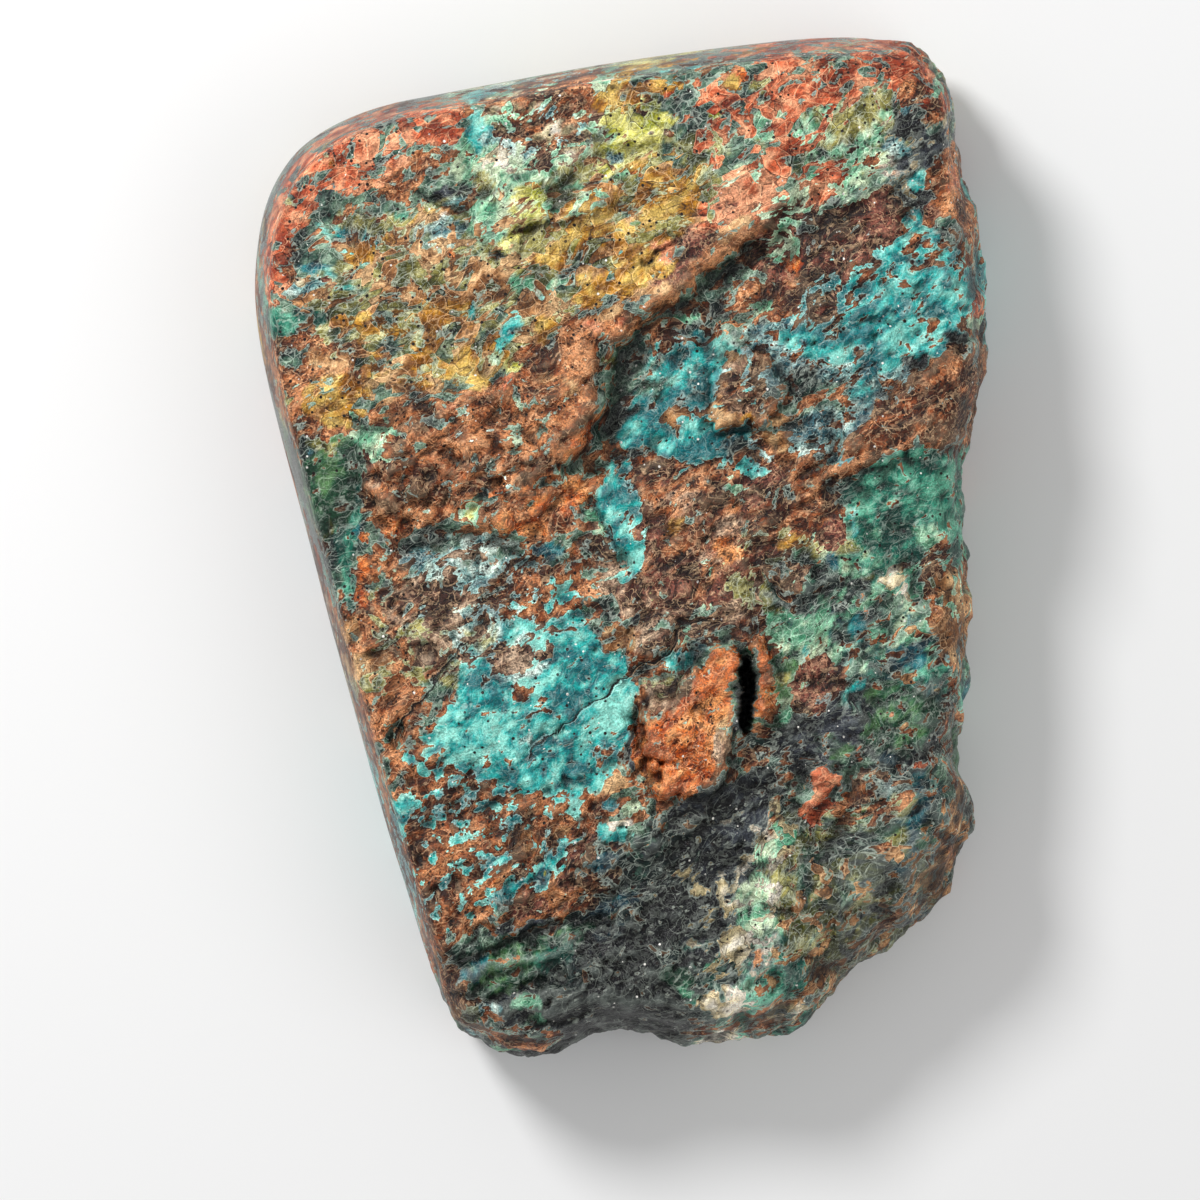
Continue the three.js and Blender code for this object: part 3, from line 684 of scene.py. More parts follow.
            (-18.5, 25.8, 0.8, 0.3), (-18, 26.7, 1.5, 0.6, 10), (-28, 17.8, 1.5, 0.9, -20),
            (-24.6, 18, 1.4, 0.8), (-21.7, 5.2, 1, 1), (-20.8, 4.5, 0.5, 1), (-2.3, 21, 0.7, 0.4),
            (25.8, 5, 0.8, 1.2, 35), (-21.3, 2.2, 0.7, 2.2, -5), (-22, 0.3, 0.5, 1),
            (-21.6, -3.6, 0.5, 1.2), (25, -10, 1.5, 0.7), (7.5, -34.3, 1.5, 0.6, 20), (14.5, -34, 1, 1),
            (23, 2, 6, 7, 0, 0.75), (22, -10, 5, 4, 0, 0.65), (8, -33, 7, 5, 0, 0.66),
            (-22.3, 3, 1.3, 6, 5, 1.1), (-21.6, -3.5, 0.8, 2.5, 0, 1.1), (-5.5, -33, 3, 1, 20, 1.1),
            (13.5, -34, 1.3, 2, 0, 1.1), (-27.2, 18, 1.8, 1, -10, 1.7), (-24.6, 18.2, 1.4, 0.9, 0, 1.6),
        ],
        "areas": [
            (0.95, [(17.5, 4.5), (19, 5.5), (23, 7), (26.5, 7.5), (27, 4.5), (27, 0), (25.5, -1.5),
                    (23.5, -1.8), (21, -1.5), (19, -0.5), (18.3, 1.5)]),
        ],
    },
    "slate": {
        "family": "cool", "grain": "flaky",
        "tones": [(12, 30, 30), (56, 90, 78), (112, 144, 122)],
        "base": 0.34,
        "patches": [
            (-14.5, 35.6, 1.6, 0.6, 5), (-15, 34.3, 0.8, 0.6), (-20.3, 32.5, 0.8, 0.4, 20),
            (-27.8, 24.2, 0.8, 0.8), (-24, 27.2, 0.5, 0.6), (-23.5, 26, 0.8, 0.6),
            (-24, 24.2, 3, 1.6, 0, 0.9), (0.5, 38, 0.5, 0.8), (5.3, 37, 0.6, 1), (5.8, 38.1, 0.8, 0.4),
            (5, 35, 3, 2.5, 0, 0.85), (5.5, 33.8, 1.5, 0.7, 10), (3.7, 32, 0.6, 1),
            (1.6, 29.3, 1.2, 0.4, 35), (2.5, 34.2, 0.8, 0.15, 0, 1.3), (15.8, 38.8, 0.7, 0.4),
            (11, 38.6, 1.2, 0.7), (15, 35, 0.6, 0.8), (10.3, 35.4, 0.9, 0.4, 20), (10.2, 34.3, 0.6, 0.3),
            (9, 32.8, 0.8, 0.6, 45), (26, 26, 0.9, 1.2), (-24.5, 23.3, 2.2, 1), (-27, 17, 0.8, 0.4),
            (-26.5, 15, 1.5, 0.8), (-18.5, 18.3, 0.8, 0.6), (-18, 16.5, 0.9, 0.9), (-17, 14.9, 1.5, 0.4),
            (-11.1, 17.3, 0.6, 0.5), (-9.7, 18.7, 0.6, 0.6), (-19.3, 12.8, 0.6, 0.4), (-14, 12.4, 1, 0.5),
            (-16, 11.5, 0.9, 0.5, -20), (-1, 9.5, 1.5, 1.5), (5.5, 18, 2.5, 1.2), (7, 20, 1.5, 1.2),
            (9.5, 8, 1.5, 1), (-23, -2, 1.2, 2), (-22.9, -3, 0.5, 0.7), (-14, 0.3, 1.5, 0.8),
            (-9, -0.5, 2, 0.6), (-18.3, -11.2, 1, 0.5), (-14.5, -11.5, 1.5, 0.8), (6.5, -8.5, 0.9, 1.2),
            (8.5, -6.5, 1, 0.6), (17.5, -5, 0.7, 0.7), (17.3, -6.7, 0.8, 0.6), (21.5, -4.5, 1, 1),
            (19, -3.5, 1, 1.2), (24, -5, 1, 0.8), (-8.5, -23.5, 1, 0.5), (-9, -28.3, 1, 0.6),
            (20, -31, 1.5, 0.4, 35), (4.5, -23, 2.5, 1, 45), (-14, 22, 14, 8, 20, 0.72),
            (3, 32, 9, 7, 10, 0.72), (18, 33, 9, 6, 0, 0.66), (5, 13, 7, 7, 0, 0.7),
            (20, -24, 8, 9, -40, 0.74), (4, -30, 10, 9, 0, 0.75), (20, -8, 8, 6, 0, 0.7),
            (-14, -1, 8, 6, 0, 0.66), (-20, 31, 9, 5, 25, 0.84), (-12, 8, 8, 5, 20, 0.72),
            (19, -28, 6, 6, 0, 0.9), (15, 35, 9, 5, 10, 0.78), (15, -3, 4, 3, 0, 0.95),
            (14.5, 11.5, 5, 3, 20, 0.9), (7, 20.5, 4, 2, 35, 0.98),
        ],
        "areas": [
            (0.95, [(-1, 15.5), (3, 16), (5, 16.5), (4, 13), (3, 11), (0, 10), (-2, 12)]),
            (0.9, [(-13.5, -32), (-10, -31), (-6, -30), (-3, -29.5), (-3, -36), (-6, -35), (-10, -34),
                   (-13, -34.5)]),
            (1, [(0, -27), (3, -24), (6, -21), (4, -28), (1, -31), (-4, -31.5), (-5, -29)]),
        ],
    },
    "charcoal": {
        "family": "cool", "grain": "scratched",
        "tones": [(7, 9, 14), (20, 25, 34), (58, 64, 74)],
        "patches": [
            (-23, 28.6, 0.3, 0.6, 30), (-14.5, 28.7, 1.2, 0.5), (-9.5, 23.5, 0.8, 0.4), (23.5, 33.8, 2, 1),
            (24.8, 31.5, 1.2, 1), (23.5, 15.2, 1.5, 0.8), (27, 16.8, 1.2, 0.8), (1.5, -5.3, 0.8, 0.4, 20),
            (1.2, -16.5, 0.5, 1.5), (18, -13, 3, 2), (7, -29, 7, 9, 0, 0.74), (19, -15, 7, 5, 0, 0.7),
            (24, 32, 4, 6, 0, 0.66), (-5, -34, 8, 5, 0, 0.66), (20, -29, 5, 5, -30, 0.84),
            (1, -35.5, 6, 2.6, 0, 1.05), (17.5, 26, 4, 3, 30, 0.7), (0, -36.5, 6, 3, 0, 1.2),
            (5, -26, 4, 5, -45, 1.1), (-1, -31.5, 4, 2, 20, 1.05), (7, -23, 4, 3.5, 30, 1.15),
            (3, -30.5, 4.5, 2.4, 30, 1.25), (-2, -37, 5, 2.4, 0, 1.25), (10.5, -19.5, 3, 1.6, 20, 1.1),
            (0, -37.5, 5, 1.6, 0, 1.35),
        ],
        "areas": [
            (1.45, [(9.3, -8.8), (10, -8.5), (10.8, -11), (11, -13), (10, -14.8), (9, -14.5), (9.2, -12)]),
            (1, [(12, -14.5), (14, -14), (17, -12), (20, -11), (21.5, -11.5), (20, -14), (19, -16)]),
            (0.98, [(5, -21), (8, -19), (12, -18), (12, -21), (10, -24), (9, -27), (8.5, -31), (5, -32),
                    (2, -33), (-3, -34), (-4, -38), (6, -38.5), (5, -34), (1, -31), (4, -28)]),
        ],
    },
    "cream": {
        "family": "warm", "grain": "flaky",
        "tones": [(168, 158, 122), (230, 222, 190), (252, 250, 238)],
        "patches": [
            (-23.9, 22.5, 0.3, 0.3), (-21.5, 24, 0.3, 0.3), (-14.2, 26.6, 0.8, 0.25, 5),
            (-1, 37.5, 0.5, 0.4), (0, 36.6, 0.4, 0.4), (2.4, 32.9, 1.4, 0.15, 12),
            (7.8, 26.2, 0.8, 0.2, 25), (25, 33.7, 0.5, 0.3), (25, 32.5, 0.4, 0.7), (23.6, 26.3, 0.4, 0.4),
            (-25.3, 21, 0.5, 0.4), (-24, 22.3, 0.5, 0.3), (-28.4, 17.2, 1, 0.15, -35),
            (-25.5, 17.4, 0.6, 0.15), (-8.8, 5, 0.8, 1, 0, 0.9), (25, 18.4, 0.6, 0.3),
            (24.8, 13.7, 0.6, 0.3), (-0.1, -0.9, 0.9, 0.3, -40), (25.2, -11.2, 0.6, 0.3, -40),
            (9, -27.3, 2.5, 0.2, 80), (7.2, -27.2, 1.5, 0.15, -59), (8.5, -30.5, 0.7, 0.15, -45),
            (11, -22.7, 0.9, 0.15, 56), (12, -24, 2, 1.2, 25, 0.95), (13.3, -22.3, 1, 0.5),
            (12.5, -21, 0.8, 0.6), (10.3, -31, 1.2, 0.5, 20), (9.3, -32.7, 0.7, 0.6), (9, -36.6, 1.2, 0.8),
            (8.5, -38.5, 0.8, 0.3), (-0.5, -23, 0.6, 0.3), (9, -28, 5, 8, 0, 0.6), (24, 32, 4, 5, 0, 0.56),
            (9, -31.5, 1.3, 1.6, -20, 1.1), (12.8, -23.5, 1.5, 1.2, 30, 1.05), (0, -22.5, 1.2, 0.8, 0, 1),
            (-8, 35, 3, 2, 20, 0.97), (-4.5, 32.5, 2.5, 2, 20, 0.95), (-9.5, 30.5, 2, 1.2, 0, 0.95),
            (8.2, -28, 0.45, 2.6, -5, 1.9), (12.5, -24, 1.6, 0.8, 40, 1.6), (9.3, -31.5, 1.5, 1.5, 0, 1.7),
            (8.3, -36.3, 2, 1.3, 10, 1.9), (-5.5, 33.5, 2.5, 0.7, 30, 1.12),
            (-8.5, 35.8, 1.6, 0.7, -20, 1.12), (-9.5, 30.3, 1.3, 0.6, 20, 1.12),
            (-3.5, 31.5, 1.2, 0.6, 60, 1.1), (8.4, -36.2, 2.4, 1.3, 10, 1.4),
            (13.2, -37, 1.6, 0.5, 20, 1.7), (11.5, -27.5, 0.8, 1.4, 20, 1.4),
            (6.8, -27.2, 0.22, 1.8, 40, 2.2), (5, -26.2, 2.2, 0.16, 5, 2), (3, -28.5, 0.14, 2, 60, 1.6),
            (9.8, -26, 1.2, 0.5, -40, 1.2),
        ],
        "areas": [
            (1.1, [(20.5, -2.5), (21.5, -1.5), (23, -1.8), (22.8, -3.5), (23, -4.7), (22.3, -5),
                   (21.5, -3.8)]),
        ],
    },
    "speckle": {
        "family": "warm", "grain": "speckled",
        "tones": [(58, 34, 28), (126, 90, 74), (210, 184, 160)],
        "patches": [
            (-7.5, 36.5, 2, 1.2), (-5, 32.5, 3.5, 2.8, 0, 0.9), (-19, 6.5, 1.2, 1), (-15.5, 5.3, 0.8, 0.6),
            (17, 17, 1, 0.8), (-19.3, 5, 0.8, 0.6), (-16, -3.5, 3, 1.5), (-8.5, -9, 2, 1),
            (-6, -8.5, 1, 0.8), (-15.5, -7, 2.5, 1.3), (2.5, -7.5, 2, 1), (3.5, -11.3, 2, 1.2),
            (14, -1.8, 1.8, 1), (13, -3, 1.5, 0.8), (20, -18.5, 2, 0.8), (-12, -5, 8, 6, 0, 0.7),
            (-6, 33, 6, 4, 0, 0.68), (5, 0, 8, 8, 0, 0.66), (9.6, 12.8, 2.8, 2.8, 0, 1.3),
            (4, -11.8, 2.4, 1.2, 20, 1.1), (7.9, -15.6, 0.9, 2, 0, 1.1), (-16, -4.5, 4, 2.5, 0, 0.95),
        ],
    },
    "fern": {
        "family": "cool", "grain": "glassy",
        "tones": [(14, 50, 34), (36, 88, 60), (92, 136, 88)],
        "patches": [
            (4.5, 29.3, 0.7, 1), (2, 26.5, 2.3, 0.3, 30), (-23.5, 4, 2, 3.5), (22, -13.5, 4, 3, 0, 0.95),
            (24.5, -23.5, 1, 1.3), (16.7, -21.7, 2.2, 0.3, 54), (20, -14, 6, 4, 0, 0.7),
            (13, -11, 5, 4, 0, 0.66), (18, -25, 6, 6, 0, 0.66), (-22.8, 5, 2.2, 4, 0, 1.35),
            (-8, -32.5, 3, 1.2, 20, 1.05), (3, -35.5, 1.5, 1, 0, 1.1), (-9.5, -34.2, 3.5, 1.4, 15, 1.15),
            (-4, -31.2, 3, 1, 20, 1.1), (4.5, -34.5, 2, 1.2, 30, 1.2),
        ],
        "areas": [
            (1, [(-24.5, 8.5), (-21, 8), (-20.3, 6), (-20.3, 3.5), (-22, 2.5), (-26, 4), (-25.5, 6.5)]),
        ],
    },
    "deepTeal": {
        "family": "cool", "grain": "glassy",
        "tones": [(4, 46, 60), (16, 82, 96), (54, 138, 146)],
        "patches": [
            (21, 14.2, 3, 1.2, 0, 0.92), (17.3, 7.3, 1, 0.6), (-6, -0.5, 1.5, 0.8), (13, -6, 1, 0.7),
            (17.2, -1.2, 0.6, 0.8), (-6, -26, 1, 0.7), (-1.5, -25.2, 1.6, 0.7), (-1, -20.5, 0.8, 0.5),
            (23.7, -22.5, 1, 2.5), (22.5, -25.5, 0.5, 1), (21.7, -17, 1, 0.6), (21, -8, 7, 5, 0, 0.68),
            (18, 12, 8, 3, 0, 0.62), (23, -22, 4, 5, 0, 0.68), (-24.5, 22.5, 1.5, 0.8, 20, 1.05),
            (-10.5, -33.5, 2, 1, 20, 1), (0, -31, 2.5, 1.2, 20, 1), (-4.5, -17, 3, 2.4, 0, 1.02),
            (-10, -11, 1.5, 1, 0, 0.9), (-12, -34.3, 1.6, 0.8, 10, 1.15), (-1, -28.5, 3, 0.9, 25, 1.1),
        ],
        "areas": [
            (1.1, [(22, -7.5), (24, -7.5), (25, -9), (24, -10), (21.5, -10), (21, -9)]),
        ],
    },
}


# How the minerals mix and how their texture runs.
ore = {
    # Sideways winds that tear the outlines of the patches: size, reach, shift.
    "winds": ((0.6, 0.3, 9.1), (1.5, 0.55, 3.3), (4.0, 0.6, 8.8)),
    "wallSlide": 0.3,  # how far the pattern slides along a wall on its way down, as a share of the way
    "bend": (1.8, 0.8, 1.7),
    "fieldSizes": (2.3, 1.4),
    "fieldShift": 10.0,  # times its size
    "fieldEdge": 0.1,
    "mixing": (0.12, 0.22, 0.2),  # how far winding fields, flakes and fine noise push the minerals
    "flake": 0.9,
    "fine": 0.7,
    "fineShifts": (21.3, 33.9, 47.1),
    "cloud": (2.6, 61.7),
    "toneParts": (0.7, 0.5),  # how much the fine noise and the flakes change the tone beside the clouds
    "toneLevels": (0.1, 0.5, 0.9),  # where the dark, middle and light tones lie
    "blending": 0.03,
    "patchLift": 0.35,  # how much more than 1 the strength of the smallest patches is, where no row says it
    "patchFade": (0.25, 0.15),  # the width of a patch's edge: at least, and more for each millimetre of patch
    "areaFade": (-0.3, 0.4),
    "hollows": ((2, 0.7, 0.22), (7, 0.3, 0.6)),  # the hollows that get painted shade: reach in cells, share, the height that counts as full
    "vividness": 1.08,
    "darkest": 0.002,
    "cast": (1.0, 0.965, 0.93),  # how much of the red, green and blue light the ore sends back
    # how gritty, flaky and waxy each grain is
    "grains": {
        "granular": np.array((1.0, 0.2, 0.0)),
        "flaky": np.array((0.35, 1.0, 0.1)),
        "waxy": np.array((0.3, 0.2, 1.0)),
        "glassy": np.array((0.3, 0.4, 0.7)),
        "scratched": np.array((0.35, 0.1, 0.85)),
        "speckled": np.array((1.0, 0.5, 0.0)),
    },
    # darker and lighter places, partly painted shade and painted light, partly the ore's own darker and
    # lighter tone: x, y, half length, half width, turn, change of tone
    "paintedShadeAndTone": [
        (12, -26, 17, 15, -30, -0.2), (3, 11, 6, 7, 0, -0.2), (-8, -30, 9, 10, 0, -0.15),
        (20, -6, 10, 8, 0, -0.1), (3, 27, 12, 6, 25, 0.12), (16, 20, 6, 5, 0, -0.28),
        (14, 12, 8, 5, 20, -0.22), (25, 12, 5, 5, 20, -0.4), (1, -35.5, 9, 5, 0, -1),
        (-15, -36, 4, 4, 0, -0.5), (15, -4, 6, 4, 0, -0.32), (-22.5, 0, 3, 10, 0, -0.3),
        (-8, 3, 6, 3, 15, 0.3), (0, 20.5, 6, 3, 20, 0.2), (10, 29, 5, 3, 30, 0.15),
        (-22, 30, 8, 5, 20, 0.15), (8.4, -36.2, 3, 2, 0, 1), (10.5, -29, 3, 8, 0, 0.5),
        (12, 4, 8, 4, 20, -0.12), (24, -16, 4, 8, 0, -0.1), (-8, 35, 5, 3, 0, -0.2),
        (18, -29, 6, 7, -35, -0.3), (1, -12, 3, 3, 0, 0.25), (-24, 28, 5, 5, 30, -0.12),
        (2, -29, 8, 5, 35, -0.7), (-6, -33.5, 7, 3, 15, -0.1), (-24, 2, 3, 7, 0, -0.15),
        (-16, -5, 6, 4, 0, -0.2), (-16.5, -27, 3, 8, -15, -0.35), (8, 21, 5, 2.5, 30, 0.2),
        (-1, -20, 4, 3, 0, 0.25), (8, 28, 6, 3, 30, 0.15),
    ],
    "paintedShadeAndToneFade": (1.2, 0.5),
    "grainBlend": 0.2,  # how near the contest of the two families has to be for their grains to mix
    "crackShown": (0.6, 0.25),
    "crackGaps": (1.5, 0.25, -0.3, 0.1, 12.0),  # size, how much fainter, the noise from faint to clear, shift
    "strokeStretch": 1.6,
    "swirlSize": 2.2,
    "swirlShift": 5.1,
    "swirl": (0.5, 1.1, 1.1),
    # the sizes of the material's own noises
    "stroke": 0.23,
    "grit": 0.15,
    "blob": 0.75,
    "scale": 0.8,  # the crisp scales that the ore breaks into
    "worm": 0.5,  # the curls that the thin pale lines follow
    "spot": 0.6,
    "islands": 1.9,  # how readily one family of minerals shows in the other as islands
    "scaleIslands": (0.75, 0.1),
    "gritIslands": 0.15,
    "mostContest": 0.42,
    # Thin lines, the dark ones painted shadows beside the pale ones and in the cracks: the value that a line
    # follows, how far from it the line is full and where it ends, strength.
    "lines": {
        "paleBorder": (0.06, 0.03, 0.09, 0.85),
        "darkBorder": (-0.1, 0.03, 0.11, 0.75),
        "rim": (0.0, 0.025, 0.06, 1.0),
        "paleCurl": (0.5, 0.02, 0.05, 1.0),
        "darkCurl": (0.59, 0.02, 0.06, 0.8),
        "paleVein": (0.0, 0.0088, 0.022, 0.8),
        "darkVein": (0.044, 0.0, 0.022, 0.6),
        "paleCrack": (0.13, 0.03, 0.08, 0.8),
        "darkCrack": (0.0, 0.06, 0.12, 1.0),
    },
    # Masks: the value where each begins and the one where it is full.
    "masks": {
        "cool": (-0.02, 0.02),
        "paleRims": (0.55, 0.6),
        "darkRims": (0.4, 0.35),
        "curls": (0.5, 0.55),
        "darkGrains": (0.35, 0.1),
        "lightGrains": (0.78, 0.95),
        "pits": (0.58, 0.6),
        "glints": (0.22, 0.15),
        "glintFields": (0.47, 0.5),
        "back": (0.8, 0.95),
    },
    # How readily a thing shows: its share for gritty ore, for flaky ore, and for all ore.
    "shares": {
        "rims": (0.0, 0.8, 0.1),
        "curls": (0.7, 0.0, 0.3),
        "darkGrains": (0.8, 0.1, 0.08),
        "lightGrains": (0.6, 0.1, 0.06),
    },
    # how much of each the polish takes away; for shade, how much darker the polished walls are painted, as
    # painted shade
    "polished": {"dark": 0.8, "light": 0.7, "pits": 0.7, "shade": 0.5, "bumps": 0.93},
    "waxyCurls": 0.75,  # how many of its curls and veins waxy ore lacks
    "waxyVeins": 0.5,
    "curlLight": 0.9,
    "veinWander": 0.02,
    "crackWander": 0.25,
    "pitEdge": (0.1, 0.16),
    "pitSpread": 0.1,
    "glintSpread": (0.7, 0.35),  # how far chance sets the painted glints apart, and how much less in waxy ore
    "speck": {"grit": 1.0, "gritty": 1.4, "scale": 0.5, "blob": 1.1, "plain": 0.9},  # what makes tones uneven
    # how dark the painted shade makes the deepest hollows
    "hollowShade": 0.25,
    "crestLight": (0.6, 0.22),  # the crest from which the ore is paler, and by how much at most
    "specular": 0.3,
    "roughness": (0.56, 0.4, 0.3, 0.2),  # warm, cool, how much grit changes it, how much polish lowers it
    "bumps": {"grit": 0.4, "blob": 0.7, "scale": 0.5, "curl": 0.2, "cool": 0.25},
    "bumpHeight": 0.25,
    "paleShare": 0.42,  # how far light places are drawn towards the pale colour of their family
    "lighter": 1.7,
    "darker": (0.14, 0.11, 0.1, 1),
    "warmLight": (255, 222, 178),
    "coolLight": (230, 244, 232),
    # the painted shade in pits, and the dark veins of the polished back
    "pitShadeAndVeinColour": (24, 14, 12),
    # the painted shade in the cracks
    "crackShadeColour": (18, 12, 11),
    # the colour of the painted highlights of the glints
    "glintColour": (252, 252, 248),
}


def linear(colour):
    channels = [c / 255 for c in colour]
    return tuple(c / 12.92 if c <= 0.04045 else ((c + 0.055) / 1.055) ** 2.4 for c in channels) + (1.0,)


# Directions spread evenly over a ball, one for each mineral: the mixing noise leans towards some and away
# from the others.
def leanOf(index, count):
    up = 1 - 2 * (index + 0.5) / count
    turn = index * math.pi * (3 - math.sqrt(5))
    reach = math.sqrt(1 - up * up)
    return reach * math.cos(turn), reach * math.sin(turn), up


# How much of each mineral a place has.
def amountsAt(x, y):
    least, more = ore["patchFade"]
    amounts = []
    for mineral in minerals.values():
        amount = np.full(len(x), mineral.get("base", 0.0))
        for cx, cy, halfLength, halfWidth, *rest in mineral["patches"]:
            turn = rest[0] if rest else 0
            short = min(halfLength, halfWidth)
            strength = rest[1] if len(rest) > 1 else 1 + ore["patchLift"] / (1 + short)
            reach = max(halfLength, halfWidth) + 1
            near = np.nonzero((np.abs(x - cx) < reach) & (np.abs(y - cy) < reach))[0]
            depth = (1 - ovalDistance(x[near] - cx, y[near] - cy, halfLength, halfWidth, turn)) * short
            fade = least + more * short
            amount[near] = np.maximum(amount[near], strength * smooth(-fade / 2, fade, depth))
        for strength, outline in mineral.get("areas", []):
            amount = np.maximum(amount, strength * smooth(*ore["areaFade"], depthInside(x, y, outline)))
        amounts.append(amount)
    return np.column_stack(amounts)


# The mean of the places round each one, for the cells of the grid, taken three times to make it soft.
def blurred(values, reach):
    for axis in (0, 1):
        margins = [(reach + 1, reach) if a == axis else (0, 0) for a in (0, 1)]
        for _ in range(3):
            total = np.cumsum(np.pad(values, margins, mode="edge"), axis=axis)
            size = values.shape[axis]
            ends = np.take(total, range(2 * reach + 1, 2 * reach + 1 + size), axis=axis)
            values = (ends - np.take(total, range(size), axis=axis)) / (2 * reach + 1)
    return values


# How strongly each mineral pushes to the surface: winding fields, flakes and a fine noise favour one or
# another.
def scoresAt(amounts, fields, flakeParts, fine):
    count = amounts.shape[1]
    winding, flaky, fineMix = ore["mixing"]
    scores = []
    for index in range(count):
        lean = np.array(leanOf(index, count))
        push = winding * np.tanh(fields / ore["fieldEdge"]) @ lean[:2]
        push += flaky * (flakeParts - 0.5) @ lean[[1, 2, 0]] + fineMix * fine @ lean[[2, 0, 1]]
        scores.append(amounts[:, index] * (1 + push))
    return np.column_stack(scores)


# Where a place takes its minerals from. The face shows them as the camera sees it, and a wall repeats the
# face inside its rim, a little slid along the wall.
def mineralPlaces(x, y, z, drop):
    seenX, seenY = seenFromCamera(x, y, z)
    reach = np.maximum(np.hypot(x, y), 1.0)
    inward = 1 - drop / reach
    sideways = ore["wallSlide"] * drop / reach
    return inward * (seenX - sideways * seenY), inward * (seenY + sideways * seenX)


# The colour, the grain and the strongest push of one family of minerals.
def familyAt(family, scores, level):
    members = [(i, m) for i, m in enumerate(minerals.values()) if m["family"] == family]
    own = scores[:, [i for i, m in members]]
    best = own.max(1)
    shares = np.exp((own - best[:, None]) / ore["blending"])
    shares /= shares.sum(1)[:, None]
    colour = np.zeros((len(level), 4))
    grains = np.zeros((len(level), 3))
    for share, (i, mineral) in zip(shares.T, members):
        tones = np.array([linear(tone)[:3] for tone in mineral["tones"]])
        tint = np.column_stack([np.interp(level, ore["toneLevels"], tones[:, c]) for c in range(3)])
        colour[:, :3] += share[:, None] * tint
        grains += share[:, None] * ore["grains"][mineral["grain"]]
    grey = colour[:, :3].mean(1)[:, None]
    colour[:, :3] = np.clip(grey + ore["vividness"] * (colour[:, :3] - grey), ore["darkest"], 1)
    return colour, grains, best


# Whether a place is a hollow, 0, or a crest, 1: the surface beside its mean round the place, on the sheet
# that the grid's cells make. Below the widest ring it is neither.
def cavityAt(grid, surface, below):
    across, along = slab["cells"]
    top = np.nonzero(below == 0)[0]
    column = np.rint((grid[top, 0] + 1) / 2 * across).astype(int)
    row = np.rint((grid[top, 1] + 1) / 2 * along).astype(int)
    sheet = np.zeros((along + 1, across + 1))
    sheet[row, column] = surface[top]
    hollow = sum(share * (sheet - blurred(sheet, reach)) / full for reach, share, full in ore["hollows"])
    cavity = np.full(len(below), 0.5)
    cavity[top] = 0.5 + 0.5 * np.clip(hollow[row, column], -1, 1)
    return cavity


# How far the nearest crack is, negative on its left, and how clearly it shows.
def cracksAt(flat):
    jagX, jagY = jagAt(flat)
    crackSide = np.ones(len(flat))
    for _, _, points in relief["cracks"]:
        gap, side, _ = lineDistance(flat[:, 0] + jagX, flat[:, 1] + jagY, points)
        crackSide = np.where(gap < np.abs(crackSide), gap * side, crackSide)
    size, fainter, faint, clear, shift = ore["crackGaps"]
    clearness = (1 - fainter) + fainter * smooth(faint, clear, noiseAt(flat, size, 1, shift))
    return crackSide, smooth(*ore["crackShown"], np.abs(crackSide)) * clearness


# Stores what the material reads at each vertex: the colour that each of the two families of minerals has
# there, with the distance to the nearest crack as the warm colour's fourth value, and as "veins" two winding
# fields and by how much the cool family wins, so that the material can draw their border crisply. "flow"
# holds the coordinates that strokes follow, "grains" how gritty, flaky and waxy the ore is, and "form"
# whether the place is a hollow or a crest, in a crack, and polished.
def paintStone(data, grid, x, y, z, surface, drop, polish, below):
    seenX, seenY = mineralPlaces(x, y, z, drop)
    flat = flatPlaces(seenX, seenY)
    wind = sum(reach * windAt(flat, size, shift) for size, reach, shift in ore["winds"])
    amounts = amountsAt(seenX + wind[:, 0], seenY + wind[:, 1])

    grainX, grainY = turned(x, y, relief["grainTurn"])
    grain = np.column_stack([grainX / relief["grainStretch"], grainY, z])
    size, reach, shift = ore["bend"]
    bent = grain + reach * windAt(grain, size, shift)
    fields = np.column_stack([noiseAt(bent, size, 2, ore["fieldShift"] * size) for size in ore["fieldSizes"]])
    flakeParts = np.array([noise.cell_vector(noise.voronoi(p)[1][0]) for p in (bent / ore["flake"]).tolist()])
    fine = np.column_stack([noiseAt(bent, ore["fine"], 2, shift) for shift in ore["fineShifts"]])
    scores = scoresAt(amounts, fields, flakeParts, fine)

    size, shift = ore["cloud"]
    finePart, flakePart = ore["toneParts"]
    level = 0.5 + noiseAt(bent, size, 3, shift) + finePart * fine[:, 0] + flakePart * (flakeParts[:, 0] - 0.5)
    # painted shade and painted light, with some of the ore's own darker and lighter tone
    for cx, cy, halfLength, halfWidth, turn, change in ore["paintedShadeAndTone"]:
        away = ovalDistance(seenX - cx, seenY - cy, halfLength, halfWidth, turn)
        level += change * smooth(*ore["paintedShadeAndToneFade"], away)
    warm, warmGrains, warmBest = familyAt("warm", scores, level)
    cool, coolGrains, coolBest = familyAt("cool", scores, level)
    contest = ore["mostContest"] * np.tanh((coolBest - warmBest) / ore["mostContest"])
    near = ore["grainBlend"]
    grains = warmGrains + (coolGrains - warmGrains) * smooth(-near, near, contest)[:, None]

    cavity = cavityAt(grid, surface, below)
    warm[:, 3], crack = cracksAt(flat)
    begun, full = slab["backGloss"]
    onBack = smooth(begun * slab["backRings"], full * slab["backRings"], below)
    gloss = np.maximum(onBack, slab["wallGloss"] * polish * smooth(0, slab["wallGlossDrop"], drop))

    swirl = np.column_stack([grainX / ore["strokeStretch"], grainY, z])
    flow = swirl + windAt(grain, ore["swirlSize"], ore["swirlShift"]) * np.array(ore["swirl"])
    for name, kind, values in (("warmOre", "FLOAT_COLOR", warm), ("coolOre", "FLOAT_COLOR", cool),
                               ("flow", "FLOAT_VECTOR", flow), ("grains", "FLOAT_VECTOR", grains),
                               ("veins", "FLOAT_VECTOR", np.column_stack([fields, contest])),
                               ("form", "FLOAT_VECTOR", np.column_stack([cavity, crack, gloss]))):
        layer = data.attributes.new(name, kind, "POINT")
        member = "color" if kind == "FLOAT_COLOR" else "vector"
        layer.data.foreach_set(member, values.astype(np.float32).ravel())


